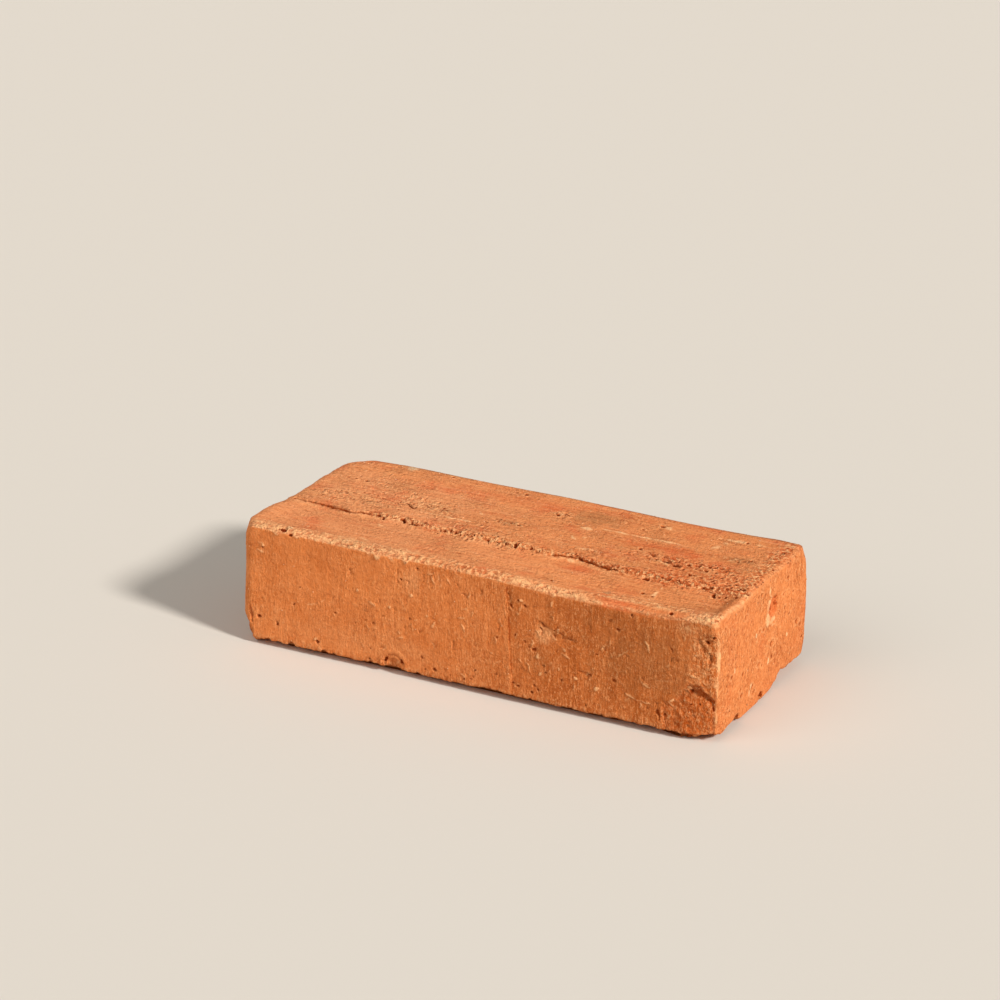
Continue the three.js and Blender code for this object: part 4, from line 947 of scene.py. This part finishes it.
cell = skin.add("ShaderNodeTexVoronoi", None, {"Vector": spread, "Scale": 1.0})
chance = skin.add("ShaderNodeSeparateXYZ", None, {0: cell.output("Color")})
size = chance.output("Y")
present = chance < porous * 0.9 + given["Pore Share"]
radius = size * 0.22 + 0.16
pore = cell.step(radius, radius * 0.5) * present
relief = relief - pore * (size * 0.5 + 0.5) * given["Pore Depth"]
facing = skin.add("GeometryNodeInputNormal")
off_bed = skin.add("ShaderNodeSeparateXYZ", None, {0: facing}, output="Z").step(-0.6, -0.1)
height = relief * off_bed * MILLIMETRE
offset = skin.add("ShaderNodeVectorMath", {"operation": "SCALE"}, {"Vector": facing, "Scale": height})
worked = skin.add("GeometryNodeSetPosition", None, {"Geometry": given["Geometry"], "Offset": offset})
close_tree(skin, stored(skin, worked, "hole", attribute(skin, "hole").at_least(pore * 0.75)))

# Grains of sand and lime that were in the clay and stand a little proud of its skin, anywhere
# but on the bed and by the floor.
grit_sizes = {"Grain Size": 0.34, "Grains per Square Metre": 2200.0, "Seed": 4}
LEAST_GRAIN, MOST_GRAIN, FULL_TURN = (0.5, 0.5, 0.5), (1.5, 1.2, 1.2), (6.3, 6.3, 6.3)
grit, given = new_geometry_tree("grit", grit_sizes)
upward = grit.add("ShaderNodeSeparateXYZ", None, {0: grit.add("GeometryNodeInputNormal")}, output="Z")
level = grit.add("ShaderNodeSeparateXYZ", None, {0: grit.add("GeometryNodeInputPosition")}, output="Z")
off_bed = (upward > -0.3) * (level > 1.5 * MILLIMETRE)
sown = grit.add("GeometryNodeDistributePointsOnFaces", None, {
    "Mesh": given["Geometry"], "Selection": off_bed, "Density": given["Grains per Square Metre"],
    "Seed": given["Seed"],
})
radius = given["Grain Size"] * MILLIMETRE
ball = grit.add("GeometryNodeMeshIcoSphere", None, {"Radius": radius, "Subdivisions": 1})
ball = stored(grit, ball, "lime", 0.5)
vectors = {"data_type": "FLOAT_VECTOR"}
stretching = {"Min": LEAST_GRAIN, "Max": MOST_GRAIN, "Seed": 8}
turning = {"Min": (0, 0, 0), "Max": FULL_TURN, "Seed": 9}
grains = grit.add("GeometryNodeInstanceOnPoints", None, {
    "Points": sown, "Instance": ball,
    "Rotation": grit.add("FunctionNodeRandomValue", vectors, turning),
    "Scale": grit.add("FunctionNodeRandomValue", vectors, stretching),
})
together = grit.add("GeometryNodeJoinGeometry", None, {0: given["Geometry"]})
grit.tree.links.new(grains.socket, together.socket.node.inputs[0])
close_tree(grit, together)


def baked(piece):
    """The piece's mesh as its modifiers leave it."""
    depsgraph = bpy.context.evaluated_depsgraph_get()
    return bpy.data.meshes.new_from_object(
        piece.evaluated_get(depsgraph), preserve_all_data_layers=True, depsgraph=depsgraph
    )


# The worked net becomes the brick's mesh. The skin's relief goes on, then the clay that bears
# no marks is thinned before the rest, and last come the grains.
THINNING_BIAS = 2e-6
clay.points[:, 2] = np.maximum(clay.points[:, 2], 0)
net = bpy.data.meshes.new("brick_net")
net.from_pydata((clay.points / PER_METRE).tolist(), [], squares.tolist())
for name in TONES:
    net.attributes.new(name, "FLOAT", "POINT").data.foreach_set("value", clay.tones[name])
brick = bpy.data.objects.new("clay_brick", net)
bpy.context.collection.objects.link(brick)
put_on(brick, skin, skin_sizes)
marks = ("hole", "pale", "raw", "broken", "porous", "crumbly", "lime")
marked = np.max([clay.tones[name] for name in marks], axis=0)
plain = brick.vertex_groups.new(name="plain_clay")
for low, high, weight in ((-1, 0.15, 1.0), (0.15, 0.5, 0.75), (0.5, 2, 0.5)):
    plain.add(np.flatnonzero((marked > low) & (marked <= high)).tolist(), weight, "REPLACE")
thinned = brick.modifiers.new("thinned", "DECIMATE")
thinned.ratio = TRIANGLES / (2 * len(squares))
thinned.use_collapse_triangulate = True
thinned.vertex_group, thinned.vertex_group_factor = "plain_clay", THINNING_BIAS
put_on(brick, grit, grit_sizes)
brick.data = baked(brick)
brick.modifiers.clear()
brick.vertex_groups.clear()
flat = np.empty(3 * len(brick.data.vertices), np.float32)
brick.data.vertices.foreach_get("co", flat)
flat[2::3] = np.maximum(flat[2::3], 0)  # nothing of it reaches below the floor
brick.data.vertices.foreach_set("co", flat)
brick.data.polygons.foreach_set("use_smooth", np.ones(len(brick.data.polygons), bool))


# The clay: orange-red, dragged upwards on the sides and lengthwise on the top, with a paler
# dusty skin, redder clay where it is broken, and dark pores.
def paint(red, green, blue):
    """A colour given as it looks on a screen, from 0 to 255."""
    shares = [value / 255 for value in (red, green, blue)]
    return (*(((s + 0.055) / 1.055) ** 2.4 if s > 0.04045 else s / 12.92 for s in shares), 1.0)


clay_paint.use_nodes = True
clay_paint.node_tree.nodes.clear()
coat = Bench(clay_paint.node_tree)


def tone(name):
    """A tone of the clay, as its coat reads it."""
    return coat.add("ShaderNodeAttribute", {"attribute_name": name}, output="Fac")


def mixed(share, below, above):
    """A share of the colour above laid over the one below."""
    return coat.add("ShaderNodeMix", {"data_type": "RGBA"}, {"Factor": share, "A": below, "B": above})


here = coat.add("ShaderNodeTexCoord", output="Object")
struck = tone("struck")
upright_drag = coat.noise(here, (0.8, 1.2, 5.0), detail=3, roughness=0.7)
long_drag = coat.noise(here, (10.0, 0.8, 0.8), detail=3, roughness=0.7)
dragged = upright_drag + (long_drag - upright_drag) * struck
cloud = coat.noise(here, 26.0, detail=3, roughness=0.55)
stain = coat.noise(here, 15.0, detail=4, roughness=0.65)
flush = coat.noise(here, 19.0, detail=4, roughness=0.65)
streak = coat.noise(here, (42.0, 2.3, 2.3), detail=4, roughness=0.65)
blotch = coat.noise(here, 5.5, detail=3, roughness=0.6)
mottle = coat.noise(here, 2.4, detail=3, roughness=0.65)


def grained(lump, **settings):
    """Grain of this size, drawn upwards on the sides and coarser on the struck top."""
    upright = coat.noise(here, (lump * 0.85, lump * 1.15, lump * 1.6), **settings)
    level = coat.noise(here, (lump * 1.35, lump * 1.55, lump), **settings)
    return upright + (level - upright) * struck


speckle = grained(1.1, detail=2, roughness=0.7)
fine = grained(0.7, detail=2, roughness=0.8)
torn = tone("porous").at_least(tone("broken"))
crumbly = tone("crumbly").at_least(torn * 0.45)
lively = (tone("lively").at_least(crumbly) + 1) * stain.step(0.36, 0.62, 0.62, 1.2)

# The clay's own colour in clouds and blotches, then its skin: the paler top, dust, and the
# places that the fire browned, which also carry brown painted shade under the spall's ledge and in
# the hollows by the upright arris.
body = mixed(cloud.step(0.3, 0.7), paint(210, 119, 61), paint(226, 134, 74))
body = mixed(blotch.step(0.35, 0.75) * 0.4, body, paint(232, 146, 90))
body = mixed(struck * (blotch * 0.5 + 0.3), body, paint(226, 144, 92))
body = mixed(tone("dust") * (mottle * 0.6 + 0.2), body, paint(238, 166, 120))
body = mixed(tone("burnt") * (blotch * 0.5 + 0.3), body, paint(162, 78, 20))

# Stains and redder flushes on the struck top, and the streaks that the strike drew along it.
body = mixed(struck * stain.step(0.52, 0.68) * 0.35, body, paint(190, 126, 80))
body = mixed(struck * flush.step(0.5, 0.68) * 0.6, body, paint(214, 102, 60))
body = mixed(struck * streak.step(0.5, 0.7) * 0.4, body, paint(240, 170, 124))
body = mixed(struck * (1 - streak).step(0.5, 0.7) * 0.35, body, paint(190, 92, 50))

# Drag lines, mottling, speckle and fine grain, each with its light side and its dark side.
body = mixed(dragged.step(0.5, 0.74) * 0.5 * lively, body, paint(246, 160, 102))
body = mixed((1 - dragged).step(0.52, 0.76) * 0.45 * lively, body, paint(166, 74, 28))
body = mixed(mottle.step(0.55, 0.76) * 0.3 * lively, body, paint(248, 164, 108))
body = mixed((1 - mottle).step(0.56, 0.76) * 0.4, body, paint(168, 80, 34))
body = mixed(speckle.step(0.55, 0.7) * 0.3 * lively, body, paint(255, 184, 128))
body = mixed((1 - speckle).step(0.55, 0.7) * 0.3 * lively, body, paint(146, 60, 16))
body = mixed(fine.step(0.55, 0.7) * 0.25 * lively, body, paint(255, 188, 132))
body = mixed((1 - fine).step(0.55, 0.7) * 0.25 * lively, body, paint(134, 54, 14))

# What the marks left: raw clay, rubbed clay, soot, and lime. The soot colour also paints grey
# shade along the back arris and in the hollows by the upright arris.
body = mixed(tone("raw") * 0.6, body, paint(208, 84, 34))
body = mixed(tone("pale") * (speckle * 0.5 + fine * 0.3 + 0.4), body, paint(255, 196, 142))
body = mixed(tone("soot") * (mottle * 0.8 + blotch * 0.5), body, paint(128, 92, 56))
body = mixed(tone("lime") * (fine * 0.4 + 0.6), body, paint(230, 208, 172))

# Crumbs and pores too fine for the mesh, where the clay is torn or rubbed. The crumbs are painted
# paler, partly their own colour and partly a painted highlight, with painted shade between them and
# in the pores. Then the shadow in the holes, and a little more warmth over it all.
WARMTH = (1.0, 0.965, 0.89)
crumb = grained(1.2, detail=1, roughness=0.6, warp=0.2)
pricked = (1 - crumb).step(0.54, 0.62) * crumbly
body = mixed(crumb.step(0.52, 0.6) * crumbly * 0.9, body, paint(255, 196, 142))
body = mixed(pricked * 0.6, body, paint(180, 76, 26))
sway = coat.noise(here, 1.5, detail=1) * (0.9 * MILLIMETRE)
prick = coat.cells(coat.moved(coat.stretched(here, (1, 0.45, 1)), sway), 1.6)
prick = prick.step(0.32, 0.2) * tone("porous") * blotch.step(0.4, 0.5)
body = mixed(prick * 0.85, body, paint(142, 54, 12))
body = mixed(tone("hole").step(0.2, 0.75), body, paint(150, 64, 18))
body = mixed(tone("hole").step(0.82, 1.0) * 0.85, body, paint(108, 38, 6))
body = coat.stretched(body, WARMTH)

# The same lines, mottling, grain, crumbs and pores as relief, in millimetres.
sandy = ((speckle - 0.5) * 0.6 + (fine - 0.5) * 0.5) * (crumbly * 0.5 + 1)
sandy = sandy + (crumb - 0.5) * crumbly * 1.3 - prick * 1.2
surface = coat.add("ShaderNodeBump", None, {
    "Height": ((dragged - 0.5) * 0.6 + (mottle - 0.5) * 0.7 + sandy) * (lively * 0.5 + 0.5),
    "Strength": 1.0, "Distance": MILLIMETRE,
})
coat.add("ShaderNodeOutputMaterial", None, {"Surface": coat.add("ShaderNodeBsdfPrincipled", None, {
    "Base Color": body,
    "Roughness": (dragged * 0.2 + 0.72) - tone("pale") * 0.06,
    "Specular IOR Level": 0.08,
    "Normal": surface,
})})
brick.data.materials.clear()
brick.data.materials.append(clay_paint)
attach(brick, "root")
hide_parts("brick")


# ==== The room ====
# A plain pale floor that the brick stands on, lit by one soft lamp from the right, a faint one
# from the left and an even sky, which shows paler than it lights.
FLOOR_REACH = 9
floor_mesh = bpy.data.meshes.new("floor")
floor_corners = [(-FLOOR_REACH, -FLOOR_REACH, 0), (FLOOR_REACH, -FLOOR_REACH, 0)]
floor_corners += [(FLOOR_REACH, FLOOR_REACH, 0), (-FLOOR_REACH, FLOOR_REACH, 0)]
floor_mesh.from_pydata(floor_corners, [], [(0, 1, 2, 3)])
floor = bpy.data.objects.new("floor", floor_mesh)
bpy.context.collection.objects.link(floor)
pale_floor = bpy.data.materials.new("pale_floor")
pale_floor.use_nodes = True
floor_shader = pale_floor.node_tree.nodes["Principled BSDF"]
floor_shader.inputs["Base Color"].default_value = paint(214, 208, 199)
floor_shader.inputs["Roughness"].default_value = 0.9
floor_shader.inputs["Specular IOR Level"].default_value = 0.1
floor_mesh.materials.append(pale_floor)

world = bpy.data.worlds.new("even_sky")
bpy.context.scene.world = world
world.use_nodes = True
world.node_tree.nodes.clear()
sky = Bench(world.node_tree)
seen = sky.add("ShaderNodeLightPath", output="Is Camera Ray")
seen = seen.at_least(seen.output("Is Glossy Ray")).at_least(seen.output("Is Transmission Ray"))
lit = sky.add("ShaderNodeBackground", None, {"Color": (1.0, 0.98, 0.95, 1.0), "Strength": 0.28})
shown = sky.add("ShaderNodeBackground", None, {"Color": (0.86, 0.85, 0.83, 1.0), "Strength": 1.0})
both = sky.add("ShaderNodeMixShader", None, {0: seen, 1: lit, 2: shown})
sky.add("ShaderNodeOutputWorld", None, {"Surface": both})

# Each lamp stands in this direction from the brick and faces it.
for name, energy, width, (x, y, z) in [
    ("main_lamp", 3.65, 9, (0.82, -0.20, 0.56)), ("filling_lamp", 1.0, 50, (-0.25, -0.70, 0.67)),
]:
    lamp = bpy.data.lights.new(name, "SUN")
    lamp.energy = energy
    lamp.angle = math.radians(width)
    lamp.color = (1.0, 0.965, 0.92)
    lamp_object = bpy.data.objects.new(name, lamp)
    lamp_object.matrix_world = (
        Matrix.Translation((2 * x, 2 * y, 2 * z))
        @ Matrix.Rotation(math.atan2(y, x), 4, "Z")
        @ Matrix.Rotation(math.atan2(math.hypot(x, y), z), 4, "Y")
    )
    bpy.context.collection.objects.link(lamp_object)

# The camera stands off the front right corner and looks down on the brick.
CAMERA_PLACE, CAMERA_TURN, LOOKS_DOWN, CAMERA_ROLL = (0.5304, -1.1099, 0.5328), 26.04, 20.59, 1.52
camera = bpy.data.cameras.new("camera")
camera.lens, camera.sensor_width = 108.85, 36
camera.clip_start, camera.clip_end = 0.05, 60
camera_object = bpy.data.objects.new("camera", camera)
camera_object.matrix_world = (
    Matrix.Translation(CAMERA_PLACE)
    @ Matrix.Rotation(math.radians(CAMERA_TURN), 4, "Z")
    @ Matrix.Rotation(math.radians(90 - LOOKS_DOWN), 4, "X")
    @ Matrix.Rotation(math.radians(CAMERA_ROLL), 4, "Z")
)
bpy.context.collection.objects.link(camera_object)
scene = bpy.context.scene
scene.camera = camera_object
scene.view_settings.view_transform = "Standard"
